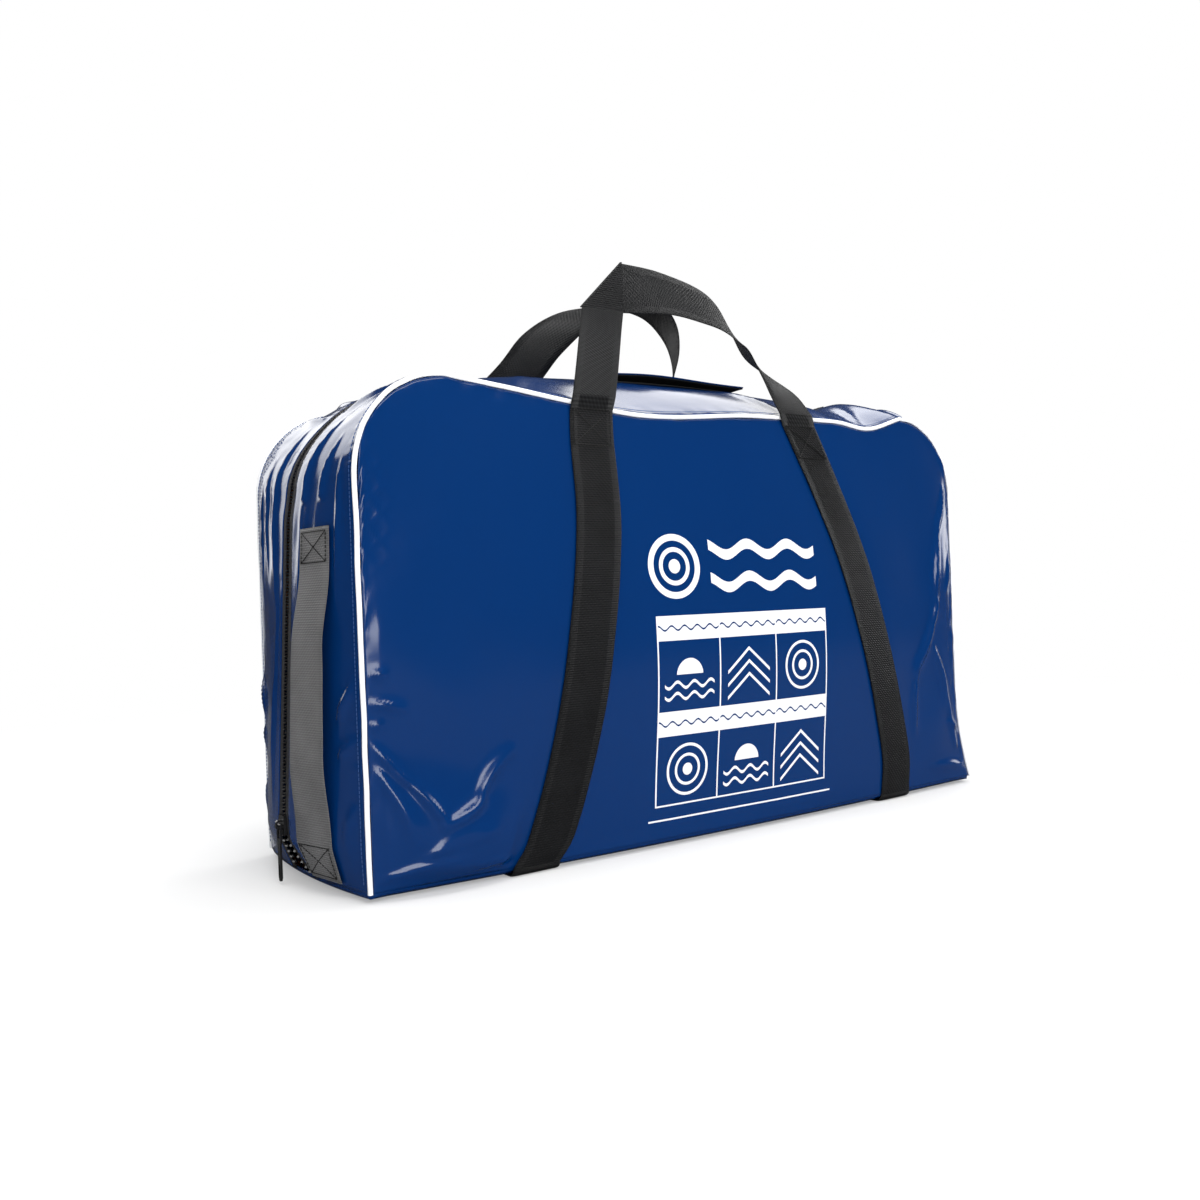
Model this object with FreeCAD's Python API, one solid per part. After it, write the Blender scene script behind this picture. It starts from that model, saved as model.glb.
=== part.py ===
import FreeCAD, Part
import math
import os

os.makedirs("parts", exist_ok=True)

# Liferaft valise: a zipped bag of coated cloth that holds a packed liferaft.
# X runs along the bag, Y from front to back, Z up, and Z 0 is the surface that the
# bag stands on. Sizes are millimetres. The shapes are made about the middle of the
# front panel's length, then shifted so that X 0 is the middle of the whole part.

# Bag body, measured from seam to seam
bag_length = 800.0
bag_depth = 245.0
seam_height = 446.0
top_corner_radius = 88.0
cloth_thickness = 1.2
seam_gap = 0.3

# Seam loop: sag of the top seam as (share of the top run, drop), and the right end's drawn-in waist
top_seam_drop = [(0.0, 0.0), (0.18, 12.0), (0.36, 22.0), (0.60, 13.0), (0.82, 11.0), (0.91, 15.0), (1.0, 0.0)]
right_end_waist = 22.0
right_foot_flare = 24.0
right_flare_height = 120.0

# Crown of the front and rear panels
panel_crown = 28.0
panel_crown_foot_share = 0.45
panel_crown_height = 190.0
panel_crown_power = 2.0

# Base tray
webbing_thickness = 1.7
base_clearance = 0.3
base_rim_height = 8.0
base_rim_radius = 5.0
base_end_bulge = 10.0

# Piping bead sewn into both seam loops
piping_radius = 2.2

# Gusset bulge at the middle line of the bag, as (place along the seam loop, bulge).
# Places 0 to 1 climb the left end, 1 to 2 round its corner, 2 to 3 run along the top,
# 3 to 4 round the right corner and 4 to 5 go down the right end.
gusset_bulge = [
    (0.0, 13.0), (0.06, 23.0), (0.11, 29.0), (0.90, 14.0), (1.0, 9.0), (1.5, -3.0), (2.0, 9.0), (2.17, 36.0),
    (2.36, 54.0), (2.60, 47.0), (2.82, 38.0), (3.0, 34.0), (3.5, 26.0), (4.0, 16.0), (4.5, 20.0), (5.0, 10.0),
]
zip_straight_low = 0.11
zip_straight_high = 0.90

# Slices of the lofted sheets round the loop
foot_places = [0.0, 0.02, 0.04, 0.065, 0.085]
corner_slices = 5
top_slices = 11
right_slices = 9
panel_rows = 10
gusset_rows = 6
piping_sides = 8
turn_slices = 4

# Zip
tape_edge = 12.0
tape_thickness = 0.8
tooth_pitch = 6.0
tooth_reach = 1.2
tooth_root = 4.0
tooth_width = 2.5
tooth_height = 2.6
zip_split_height = 64.0
zip_split_slope = 0.2
tail_start_height = 44.0
tail_radius = 41.0
tail_run = 32.0
tail_low_point = 3.0

# Slider and pull
slider_height = 53.0
slider_length = 17.0
slider_wall = 1.5
slider_clearance = 0.35
slider_flange = 1.2
divider_width = 2.4
divider_length = 5.0
bail_width = 3.2
bail_bar = 1.6
bail_inside_length = 5.4
bail_inside_rise = 3.4
pull_wire = 0.9
pull_loop_half_width = 4.0
pull_loop_length = 13.0
pull_body_length = 37.5
pull_width = 6.6
pull_thickness = 1.8
pull_slot_length = 11.0
pull_slot_width = 2.6
stop_thickness = 2.2
stop_height = 3.0

# Carrying webbing, and the centre line of each front run as (height, x)
webbing_width = 50.0
webbing_clearance = 0.5
left_run = [(8.0, -244.0), (28.0, -229.0), (99.0, -206.0), (207.0, -184.0), (318.0, -167.0), (394.0, -164.0),
            (425.0, -160.0)]
right_run = [(8.0, 246.0), (46.0, 249.0), (93.0, 238.0), (187.0, 208.0), (277.0, 177.0), (344.0, 149.0),
             (388.0, 131.0), (425.0, 117.0)]
run_top = 425.0
fold_x = -150.0
fold_height = 530.0
fold_y = -102.0
fold_layer_gap = 0.6

# Handles between the two runs, as (centre of the webbing), (direction across it).
# The front one is folded over at its left corner and twists down to its right end.
front_left_leg = [
    ((-157.0, -127.0, 438.0), (1.0, 0.0, 0.0)),
    ((-147.0, -120.0, 468.0), (1.0, 0.0, 0.0)),
    ((-135.0, -110.0, 502.0), (1.0, 0.0, 0.0)),
]
front_hand_grip = [
    ((-46.0, -100.0, 557.0), (0.0, -0.30, -0.95)),
    ((4.0, -99.0, 551.0), (-0.08, -0.42, -0.90)),
    ((32.0, -99.0, 541.0), (-0.28, -0.58, -0.76)),
    ((50.0, -101.0, 522.0), (-0.50, -0.76, -0.42)),
    ((65.0, -104.0, 503.0), (-0.62, -0.78, -0.05)),
    ((86.0, -109.0, 482.0), (-0.82, -0.56, -0.10)),
    ((104.0, -118.0, 459.0), (-0.96, -0.22, -0.15)),
    ((113.0, -126.5, 438.0), (-1.0, 0.0, 0.0)),
]
rear_hand_grip = [
    ((-157.0, 127.0, 438.0), (1.0, 0.0, 0.0)),
    ((-133.0, 122.0, 470.0), (0.95, -0.05, -0.30)),
    ((-100.0, 102.0, 507.0), (0.86, -0.20, -0.46)),
    ((-77.0, 84.0, 541.0), (0.80, -0.42, -0.42)),
    ((-40.0, 66.0, 572.0), (0.50, -0.80, -0.30)),
    ((8.0, 55.0, 590.0), (0.12, -0.99, -0.05)),
    ((58.0, 53.0, 588.0), (-0.12, -0.99, 0.05)),
    ((90.0, 57.0, 566.0), (-0.30, -0.95, 0.08)),
    ((105.0, 66.0, 535.0), (-0.50, -0.86, 0.0)),
    ((111.0, 86.0, 500.0), (-0.72, -0.69, 0.0)),
    ((113.0, 113.0, 464.0), (-0.94, -0.34, 0.0)),
    ((113.0, 127.0, 438.0), (-1.0, 0.0, 0.0)),
]
grip_steps = 3

# End handles
end_handle_setback = 60.5
end_handle_foot = 12.0
end_handle_head = 316.0
end_handle_tack = 32.0
end_handle_clearance = 1.2
end_handle_stand_off = 12.0

# Painter flap on the top
flap_left = -70.0
flap_right = 112.0
flap_front = -46.0
flap_rear = 34.0
flap_thickness = 1.5
flap_lift = 9.0
fastener_width = 24.0
fastener_thickness = 1.2

# Packed raft
raft_end_clearance = 22.0
raft_side_clearance = 9.0
raft_top_clearance = 30.0

half_depth = bag_depth / 2
foot = base_rim_height
base_height = webbing_thickness + base_clearance
top_run_left = -bag_length / 2 + top_corner_radius
top_run_right = bag_length / 2 - right_end_waist - top_corner_radius
corner_height = seam_height - top_corner_radius


def vec(x, y, z):
    return FreeCAD.Vector(x, y, z)


def smooth_through(stations, at):
    """Value of a smooth curve through (place, value) pairs."""
    if at <= stations[0][0]:
        return stations[0][1]
    for index in range(len(stations) - 1):
        (p0, v0), (p1, v1) = stations[index], stations[index + 1]
        if at <= p1:
            break
    else:
        return stations[-1][1]

    def slope(k):
        low = max(k - 1, 0)
        high = min(k + 1, len(stations) - 1)
        return (stations[high][1] - stations[low][1]) / (stations[high][0] - stations[low][0])

    span = p1 - p0
    s = (at - p0) / span
    m0, m1 = slope(index) * span, slope(index + 1) * span
    return ((2 * s ** 3 - 3 * s ** 2 + 1) * v0 + (s ** 3 - 2 * s ** 2 + s) * m0
            + (3 * s ** 2 - 2 * s ** 3) * v1 + (s ** 3 - s ** 2) * m1)


# Seam loop

def right_side(z):
    """X of the right end seam at a height: drawn in, and flared at the foot."""
    flare = max(0.0, 1 - z / right_flare_height)
    return bag_length / 2 - right_end_waist + right_foot_flare * flare ** 2


def top_seam(x):
    share = (x - top_run_left) / (top_run_right - top_run_left)
    return seam_height - smooth_through(top_seam_drop, min(max(share, 0.0), 1.0))


def seam_frame(place):
    """Point of the seam loop and its outward direction, in X and Z."""
    if place <= 1:
        return -bag_length / 2, foot + place * (corner_height - foot), -1.0, 0.0
    if place <= 2:
        angle = math.pi - (place - 1) * math.pi / 2
        out_x, out_z = math.cos(angle), math.sin(angle)
        return top_run_left + top_corner_radius * out_x, corner_height + top_corner_radius * out_z, out_x, out_z
    if place <= 3:
        x = top_run_left + (place - 2) * (top_run_right - top_run_left)
        return x, top_seam(x), 0.0, 1.0
    if place <= 4:
        angle = math.pi / 2 - (place - 3) * math.pi / 2
        out_x, out_z = math.cos(angle), math.sin(angle)
        return top_run_right + top_corner_radius * out_x, corner_height + top_corner_radius * out_z, out_x, out_z
    z = foot + (5 - place) * (corner_height - foot)
    return right_side(z), z, 1.0, 0.0


def bulge(place):
    if zip_straight_low <= place <= zip_straight_high:
        low = smooth_through(gusset_bulge, zip_straight_low)
        high = smooth_through(gusset_bulge, zip_straight_high)
        return low + (high - low) * (place - zip_straight_low) / (zip_straight_high - zip_straight_low)
    return smooth_through(gusset_bulge, place)


def place_at_height(z):
    return (z - foot) / (corner_height - foot)


def loop_point(place, y, inset=0.0):
    """Point on the gusset's outer face: the seam loop at the seam, the zip line in the middle."""
    x, z, out_x, out_z = seam_frame(place)
    share = min(max((half_depth - abs(y)) / (half_depth - tape_edge), 0.0), 1.0)
    reach = bulge(place) * math.sin(share * math.pi / 2) - inset
    return vec(x + reach * out_x, y, z + reach * out_z)


def loop_places():
    """Places round the whole seam loop where the sheets are sliced, closer where the loop turns."""
    found = list(foot_places)
    found += [zip_straight_low, place_at_height(zip_split_height)]
    found += [zip_straight_low + (zip_straight_high - zip_straight_low) * k / 3 for k in (1, 2, 3)]
    found.append((zip_straight_high + 1) / 2)
    found += [1 + k / corner_slices for k in range(corner_slices)]
    found += [2 + k / top_slices for k in range(top_slices)]
    found += [3 + k / corner_slices for k in range(corner_slices)]
    found += [4 + math.sin(math.pi / 2 * k / right_slices) for k in range(right_slices + 1)]
    return found


# Thin lofted sheets

def patch(corners):
    """Faces over four corners: one where they lie in a plane, else two triangles."""
    a, b, c, d = corners
    normal = (c - a).cross(d - b)
    if normal.Length > 0 and abs(normal.normalize().dot(b - a)) < 1e-5:
        return [Part.Face(Part.makePolygon([a, b, c, d, a]))]
    return [Part.Face(Part.makePolygon([a, b, c, a])), Part.Face(Part.makePolygon([a, c, d, a]))]


def skin(one, two):
    """Faces between two chains of points."""
    faces = []
    for k in range(len(one) - 1):
        faces += patch([one[k], one[k + 1], two[k + 1], two[k]])
    return faces


def closed_solid(faces):
    shell = Part.makeShell(faces)
    shell.sewShape()
    solid = Part.Solid(shell)
    if solid.Volume < 0:
        solid.reverse()
    return solid


def loft(slices):
    """Solid sheet skinned from slice to slice. A slice has points across its two faces."""
    faces = []
    rings = [list(inner) + list(reversed(outer)) + [inner[0]] for inner, outer in slices]
    for one, two in zip(rings, rings[1:]):
        faces += skin(one, two)
    for inner, outer in (slices[0], slices[-1]):
        faces += skin(inner, outer)
    return closed_solid(faces)


def mirrored(shape):
    return shape.mirror(vec(0, 0, 0), vec(0, 1, 0))


# Panels

def crown(x, z):
    """How far the front panel stands out of its seam plane."""
    half = -bag_length / 2 if x < 0 else right_side(z)
    across = max(0.0, 1 - abs(x / half) ** panel_crown_power)
    if z < panel_crown_height:
        rise = (1 - math.cos(math.pi * max(z, 0.0) / panel_crown_height)) / 2
        return panel_crown * across * (panel_crown_foot_share + (1 - panel_crown_foot_share) * rise)
    up = (z - panel_crown_height) / (top_seam(x) - panel_crown_height)
    return panel_crown * across * max(0.0, 1 - up ** panel_crown_power)


def panel_top(x, inset):
    """Height of a panel's upper edge at X: the seam loop, less the inset."""
    radius = top_corner_radius - inset
    if x < top_run_left:
        return corner_height + math.sqrt(max(0.0, radius ** 2 - (top_run_left - x) ** 2))
    if x > top_run_right:
        return corner_height + math.sqrt(max(0.0, radius ** 2 - (x - top_run_right) ** 2))
    return top_seam(x) - inset


def front_panel():
    """The front cloth: upright slices from the foot to the seam loop, crowned outwards."""
    inset = piping_radius + seam_gap
    left = -bag_length / 2 + inset
    ends = [1 - math.cos(math.pi / 2 * k / corner_slices) for k in range(corner_slices)]
    corner_share = (top_corner_radius - inset) / (bag_length - right_end_waist - 2 * inset)
    shares = [corner_share * end for end in ends]
    shares += [corner_share + (1 - 2 * corner_share) * k / top_slices for k in range(top_slices + 1)]
    shares += [1 - corner_share * end for end in reversed(ends)]
    slices = []
    for share in shares:
        upper_x = left + share * (right_side(seam_height) - inset - left)
        top = panel_top(upper_x, inset)
        low = foot + seam_gap
        front, back = [], []
        for k in range(panel_rows + 1):
            z = low + (top - low) * k / panel_rows
            x = left + share * (right_side(z) - inset - left)
            y = -half_depth - crown(x, z)
            front.append(vec(x, y, z))
            back.append(vec(x, y + cloth_thickness, z))
        slices.append((back, front))
    return loft(slices)


# Base

def base_outline(inset, z):
    """Plan of the base at a height: front and rear edges bow with the panels, the ends bulge."""
    left, right = -bag_length / 2 + inset, right_side(foot) - inset
    side = half_depth - inset
    bow = crown(0.0, 0.0)
    corners = [vec(left, -side, z), vec(right, -side, z), vec(right, side, z), vec(left, side, z)]
    middles = [vec((left + right) / 2, -side - bow, z), vec(right + base_end_bulge, 0, z),
               vec((left + right) / 2, side + bow, z), vec(left - base_end_bulge, 0, z)]
    edges = []
    for k in range(4):
        edges.append(Part.Arc(corners[k], middles[k], corners[(k + 1) % 4]).toShape())
    return Part.Wire(edges)


def tray_block(inset, low, radius):
    """Solid of the base plan whose lower edge is rolled up to the seams."""
    levels = []
    for degrees in (90, 45, 0):
        turn = math.radians(degrees)
        levels.append(base_outline(inset + radius * (1 - math.cos(turn)), low + radius * (1 - math.sin(turn))))
    levels.append(base_outline(inset, foot))
    return Part.makeLoft(levels, True, True)


def base_panel():
    outer = tray_block(0.0, base_height, base_rim_radius)
    inner = tray_block(cloth_thickness, base_height + cloth_thickness, base_rim_radius - cloth_thickness)
    return outer.cut(inner)


# Gussets

def split_offset(height, front):
    """How far a zip row stands off the middle line below the slider, where the rows part."""
    offset = zip_split_slope * max(0.0, zip_split_height - height)
    if front:
        into_arc = min(max(0.0, tail_start_height - height), tail_radius - tail_low_point) / tail_radius
        offset += tail_run * (1 - math.sqrt(1 - into_arc ** 2))
    return offset


def gusset(front):
    """Half of the side wall, from one seam loop to its row of the zip."""
    slices = []
    for place in loop_places():
        edge = tape_edge
        if place < 1:
            edge += split_offset(seam_frame(place)[1], front)
        near = half_depth - piping_radius - seam_gap
        ys = [near + (edge - near) * k / gusset_rows for k in range(gusset_rows + 1)]
        outer = [loop_point(place, -y) for y in ys]
        inner = [loop_point(place, -y, cloth_thickness) for y in ys]
        slices.append((inner, outer))
    shape = loft(slices)
    return shape if front else mirrored(shape)


# Piping

def piping():
    """White bead round the front seam loop, open along the foot."""
    rings = []
    for place in loop_places():
        x, z, out_x, out_z = seam_frame(place)
        if place <= 1 and place not in (0.0, 1.0):
            continue
        around = []
        for k in range(piping_sides + 1):
            turn = 2 * math.pi * k / piping_sides
            reach = piping_radius * math.cos(turn)
            around.append(vec(x + reach * out_x, -half_depth + piping_radius * math.sin(turn), z + reach * out_z))
        rings.append(around)
    faces = [Part.Face(Part.makePolygon(ring)) for ring in (rings[0], rings[-1])]
    for one, two in zip(rings, rings[1:]):
        faces += skin(one, two)
    return closed_solid(faces)


# Zip

def row_point(place, y, lift):
    """Point beside the zip's middle line, lifted off the tape along the outward direction."""
    x, z, out_x, out_z = seam_frame(place)
    reach = bulge(place) + lift
    return vec(x + reach * out_x, y, z + reach * out_z)


def zip_tape(front):
    """One tape, from its gusset's edge to the teeth, with the tail below the slider."""
    slices = []
    for place in loop_places():
        height = seam_frame(place)[1]
        offset = split_offset(height, front) if place < 1 else 0.0
        lean = split_offset(height - 1.0, front) - offset if place < 1 else 0.0
        corner_reach = tooth_width / 2 * lean / math.hypot(1, lean)
        edges = [-(tape_edge - seam_gap / 3 + offset), -(tooth_root + seam_gap + corner_reach + offset)]
        top = [row_point(place, y, -seam_gap) for y in edges]
        under = [row_point(place, y, -seam_gap - tape_thickness) for y in edges]
        slices.append((under, top))
    shape = loft(slices)
    return shape if front else mirrored(shape)


def middle_line(front):
    """Fine points down one zip row: place round the loop, offset from the middle and length so far."""
    line = []
    length = 0.0
    last = None
    for step in range(2501):
        place = 5.0 * step / 2500
        offset = split_offset(seam_frame(place)[1], front) if place < 1 else 0.0
        point = row_point(place, -offset, 0.0)
        if last is not None:
            length += point.distanceToPoint(last)
        line.append((length, place, offset))
        last = point
    return line


def zip_teeth(front):
    """Moulded teeth along one row. The rear row sits half a pitch on, so that the rows mesh."""
    line = middle_line(front)
    total = line[-1][0] - (0.0 if front else tooth_pitch / 2)
    distance = total % tooth_pitch + tooth_pitch / 2
    teeth = []
    index = 0
    while distance < total - tooth_pitch:
        while line[index + 1][0] < distance:
            index += 1
        (low_length, low_place, low_offset), (high_length, high_place, high_offset) = line[index:index + 2]
        share = (distance - low_length) / (high_length - low_length)
        place = low_place + (high_place - low_place) * share
        offset = low_offset + (high_offset - low_offset) * share
        here = row_point(place, -offset, 0.0)
        ahead = row_point(min(place + 0.004, 5.0), -offset, 0.0)
        along = (ahead - here).normalize()
        outward = along.cross(vec(0, 1, 0)).normalize()
        if front:
            low, high = -offset - tooth_root, -offset + tooth_reach
        else:
            low, high = offset - tooth_reach, offset + tooth_root
        centre = -seam_gap - tape_thickness / 2
        inner_lift, outer_lift = centre - tooth_height / 2, centre + tooth_height / 2
        roof = Part.makePolygon([vec(-tooth_width / 2, low, inner_lift), vec(tooth_width / 2, low, inner_lift),
                                 vec(0, low, outer_lift), vec(-tooth_width / 2, low, inner_lift)])
        tooth = Part.Face(roof).extrude(vec(0, high - low, 0))
        turn = FreeCAD.Matrix(along.x, 0, outward.x, here.x, 0, 1, 0, 0, along.z, 0, outward.z, here.z, 0, 0, 0, 1)
        tooth.Placement = FreeCAD.Placement(turn).multiply(tooth.Placement)
        teeth.append(tooth)
        distance += tooth_pitch
    return Part.makeCompound(teeth)


def solid_between(outline, push):
    """Flat outline, given as corner points, pushed out into a solid."""
    return Part.Face(Part.makePolygon(outline + outline[:1])).extrude(push)


# Slider and pull, made in their own frame: Z up the zip, X into the bag, Y to the rear

def straight_run_frame(height):
    """Placement of the slider's frame on the straight run of the zip's middle line."""
    low = row_point(zip_straight_low, 0.0, 0.0)
    high = row_point(zip_straight_high, 0.0, 0.0)
    lean = math.degrees(math.atan2(high.x - low.x, high.z - low.z))
    here = row_point(place_at_height(height), 0.0, 0.0)
    return FreeCAD.Placement(here, FreeCAD.Rotation(vec(0, 1, 0), lean))


def slider_half_width(height):
    """Half width inside the slider's flanges, which part as the two rows do."""
    return tooth_root + slider_clearance + split_offset(height, False)


teeth_top = seam_gap + tape_thickness / 2 - tooth_height / 2
teeth_under = seam_gap + tape_thickness / 2 + tooth_height / 2
slider_face = teeth_top - slider_clearance - slider_wall
pull_pin_x = slider_face - bail_inside_rise / 2


def zip_slider():
    half = slider_length / 2
    wide = slider_half_width(slider_height - half)
    narrow = slider_half_width(slider_height + half)
    flange = slider_flange

    def plate(x, thickness):
        outline = [vec(x, -wide - flange, -half), vec(x, wide + flange, -half), vec(x, wide + flange, -half / 2),
                   vec(x, narrow + flange, half), vec(x, -narrow - flange, half),
                   vec(x, -wide - flange, -half / 2)]
        return solid_between(outline, vec(thickness, 0, 0))

    parts = [plate(slider_face, slider_wall), plate(teeth_under + slider_clearance, slider_wall)]
    for side in (-1, 1):
        outline = [vec(slider_face, side * wide, -half), vec(slider_face, side * (wide + flange), -half),
                   vec(slider_face, side * (wide + flange), -half / 2), vec(slider_face, side * (narrow + flange), half),
                   vec(slider_face, side * narrow, half), vec(slider_face, side * wide, -half / 2)]
        depth = seam_gap - slider_clearance - slider_face
        parts.append(solid_between(outline, vec(depth, 0, 0)))
    post_depth = teeth_under + slider_clearance - slider_face
    parts.append(Part.makeBox(post_depth, divider_width, divider_length,
                              vec(slider_face, -divider_width / 2, -half)))
    inside, rise, bar = bail_inside_length / 2, bail_inside_rise, bail_bar
    arch = [vec(slider_face, -bail_width / 2, -inside - bar), vec(slider_face - rise, -bail_width / 2, -inside - bar),
            vec(slider_face - rise - bar, -bail_width / 2, -inside),
            vec(slider_face - rise - bar, -bail_width / 2, inside),
            vec(slider_face - rise, -bail_width / 2, inside + bar), vec(slider_face, -bail_width / 2, inside + bar)]
    bail = solid_between(arch, vec(0, bail_width, 0))
    window = Part.makeBox(rise, bail_width, 2 * inside, vec(slider_face - rise, -bail_width / 2, -inside))
    parts.append(bail.cut(window))
    slider = parts[0].multiFuse(parts[1:]).removeSplitter()
    slider.Placement = straight_run_frame(slider_height)
    return slider


def pull_pin():
    """Centre of the pull's cross wire, in the slider's bail."""
    return straight_run_frame(slider_height).multVec(vec(pull_pin_x, 0, 0))


def zip_pull():
    """Wire loop through the bail and the moulded tongue below it, hanging straight down."""
    wire, half = pull_wire, pull_loop_half_width
    rim = [vec(wire * math.cos(math.pi * (k + 0.5) / 4), -half - wire, wire * math.sin(math.pi * (k + 0.5) / 4))
           for k in range(8)]
    parts = [solid_between(rim, vec(0, 2 * (half + wire), 0))]
    for side in (-1, 1):
        low_y = side * half - wire
        parts.append(Part.makeBox(pull_thickness, 2 * wire, pull_loop_length,
                                  vec(-pull_thickness / 2, low_y, -pull_loop_length)))
    end = pull_loop_length + pull_body_length
    shoulder = pull_loop_length + pull_width / 2
    x = -pull_thickness / 2
    outline = [vec(x, -half - wire, -pull_loop_length + wire), vec(x, half + wire, -pull_loop_length + wire),
               vec(x, half + wire, -pull_loop_length - wire), vec(x, pull_width / 2, -shoulder),
               vec(x, pull_width / 2, -end + pull_width / 2), vec(x, pull_width / 4, -end),
               vec(x, -pull_width / 4, -end), vec(x, -pull_width / 2, -end + pull_width / 2),
               vec(x, -pull_width / 2, -shoulder), vec(x, -half - wire, -pull_loop_length - wire)]
    tongue = solid_between(outline, vec(pull_thickness, 0, 0))
    slot_low = end - pull_width / 2
    slot = Part.makeBox(pull_thickness, pull_slot_width, pull_slot_length, vec(x, -pull_slot_width / 2, -slot_low))
    parts.append(tongue.cut(slot))
    pull = parts[0].multiFuse(parts[1:]).removeSplitter()
    pull.translate(pull_pin())
    return pull


def zip_bottom_stop():
    """Moulded block over both tapes at the foot of the right end."""
    x, z, _, _ = seam_frame(5.0)
    half = (tooth_root + tape_edge) / 2
    return Part.makeBox(stop_thickness, 2 * half, stop_height, vec(x + bulge(5.0), -half, z + seam_gap))


# Carrying webbing

def webbing_slice(centre, across, along):
    """Square-cut slice of webbing from its centre, the direction across it and its run."""
    across = vec(*across).normalize()
    outward = across.cross(along).normalize()
    centre = vec(*centre)
    side, up = across * (webbing_width / 2), outward * (webbing_thickness / 2)
    return [centre - side - up, centre + side - up], [centre - side + up, centre + side + up]


def grip_slices(stations):
    """Smoothly twisting slices through the stations of a handle."""
    count = len(stations) - 1
    tracks = []
    for group in (0, 1):
        for axis in range(3):
            tracks.append([(k, station[group][axis]) for k, station in enumerate(stations)])

    def at(k):
        values = [smooth_through(track, k) for track in tracks]
        return vec(*values[:3]), values[3:]

    slices = []
    for step in range(count * grip_steps + 1):
        k = step / grip_steps
        centre, across = at(k)
        along = at(min(k + 0.05, count))[0] - at(max(k - 0.05, 0))[0]
        slices.append(webbing_slice(centre, across, along))
    return slices


def run_y(x, z):
    """Distance of the webbing's inner face from the bag's middle plane."""
    over_panel = half_depth + crown(x, z) + webbing_clearance
    return max(over_panel, half_depth + piping_radius + seam_gap) if z > run_top - 12 else over_panel


def run_slices(track, side):
    """Webbing from the middle of the base, round the foot and up a panel. Side is -1 at the front."""
    x = track[0][1]
    left, right = x - webbing_width / 2, x + webbing_width / 2
    low = webbing_thickness
    radius = base_rim_radius + 1.0
    slices = [([vec(left, 0, low), vec(right, 0, low)], [vec(left, 0, 0), vec(right, 0, 0)])]
    for k in range(turn_slices + 1):
        turn = math.pi / 2 * k / turn_slices
        inner, outer = [], []
        for edge in (left, right):
            centre_y = run_y(edge, foot) - radius
            for points, reach in ((inner, radius), (outer, radius + low)):
                points.append(vec(edge, side * (centre_y + reach * math.sin(turn)),
                                  low + radius - reach * math.cos(turn)))
        slices.append((inner, outer))
    first = low + radius
    count = 12
    for k in range(1, count + 1):
        z = first + (run_top - first) * k / count
        x = smooth_through(track, z)
        inner = [vec(edge, side * run_y(edge, z), z) for edge in (x - webbing_width / 2, x + webbing_width / 2)]
        outer = [vec(p.x, p.y + side * low, z) for p in inner]
        slices.append((inner, outer))
    return slices


def turned_over(slices, faces):
    """The same slices with their two faces, or their two edges, exchanged."""
    if faces:
        return [(outer, inner) for inner, outer in slices]
    return [(inner[::-1], outer[::-1]) for inner, outer in slices]


def front_webbing():
    """One length: up the left run, folded over into the grip, twisted down and along the right run."""
    width, thick = webbing_width, webbing_thickness
    leg_y = [fold_y - thick / 2, fold_y + thick / 2]
    grip_y = [leg_y[1] + fold_layer_gap, leg_y[1] + fold_layer_gap + thick]
    right_x, top_z = fold_x + width, fold_height + width

    left = run_slices(left_run, -1)
    left += grip_slices(front_left_leg)
    left.append(([vec(fold_x, leg_y[1], fold_height), vec(right_x, leg_y[1], fold_height)],
                 [vec(fold_x, leg_y[0], fold_height), vec(right_x, leg_y[0], fold_height)]))

    def corner(y0, y1):
        outline = [vec(fold_x, y0, fold_height), vec(right_x, y0, fold_height), vec(right_x, y0, top_z)]
        return solid_between(outline, vec(0, y1 - y0, 0))

    lip = thick
    fold = solid_between([vec(fold_x, leg_y[0], fold_height), vec(fold_x + lip, leg_y[0], fold_height),
                          vec(right_x, leg_y[0], top_z - lip), vec(right_x, leg_y[0], top_z)],
                         vec(0, grip_y[1] - leg_y[0], 0))
    grip = [([vec(right_x, grip_y[1], top_z), vec(right_x, grip_y[1], fold_height)],
             [vec(right_x, grip_y[0], top_z), vec(right_x, grip_y[0], fold_height)])]
    grip += grip_slices(front_hand_grip)
    grip += turned_over(run_slices(right_run, -1)[::-1], False)
    parts = [loft(left), corner(*leg_y), fold, corner(*grip_y), loft(grip)]
    return parts[0].multiFuse(parts[1:])


def rear_webbing():
    """One length: up the left run, over as the rear grip and down the right run."""
    slices = run_slices(left_run, 1)
    slices += turned_over(grip_slices(rear_hand_grip), True)
    slices += turned_over(run_slices(right_run, 1)[::-1], False)
    return loft(slices)


# End handles

def end_handle(low_place, high_place):
    """Flat webbing tacked at head and foot, standing off the end between."""
    count = 12
    slices = []
    centre = half_depth - end_handle_setback
    ys = [-centre - webbing_width / 2, -centre + webbing_width / 2]
    length = end_handle_head - end_handle_foot
    for k in range(count + 1):
        share = k / count
        place = low_place + (high_place - low_place) * share
        from_end = min(share, 1 - share) * length
        arch = min(max((from_end - end_handle_tack) / (length / 4), 0.0), 1.0)
        stand_off = end_handle_clearance + end_handle_stand_off * math.sin(arch * math.pi / 2)
        middle = loop_point(place, -centre)
        chord = (loop_point(place, ys[0]) + loop_point(place, ys[1])) * 0.5
        stand_off += abs(middle.x - chord.x)
        inner = [loop_point(place, y, -stand_off) for y in ys]
        outer = [loop_point(place, y, -stand_off - webbing_thickness) for y in ys]
        slices.append((inner, outer))
    return loft(slices)


# Painter flap

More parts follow.
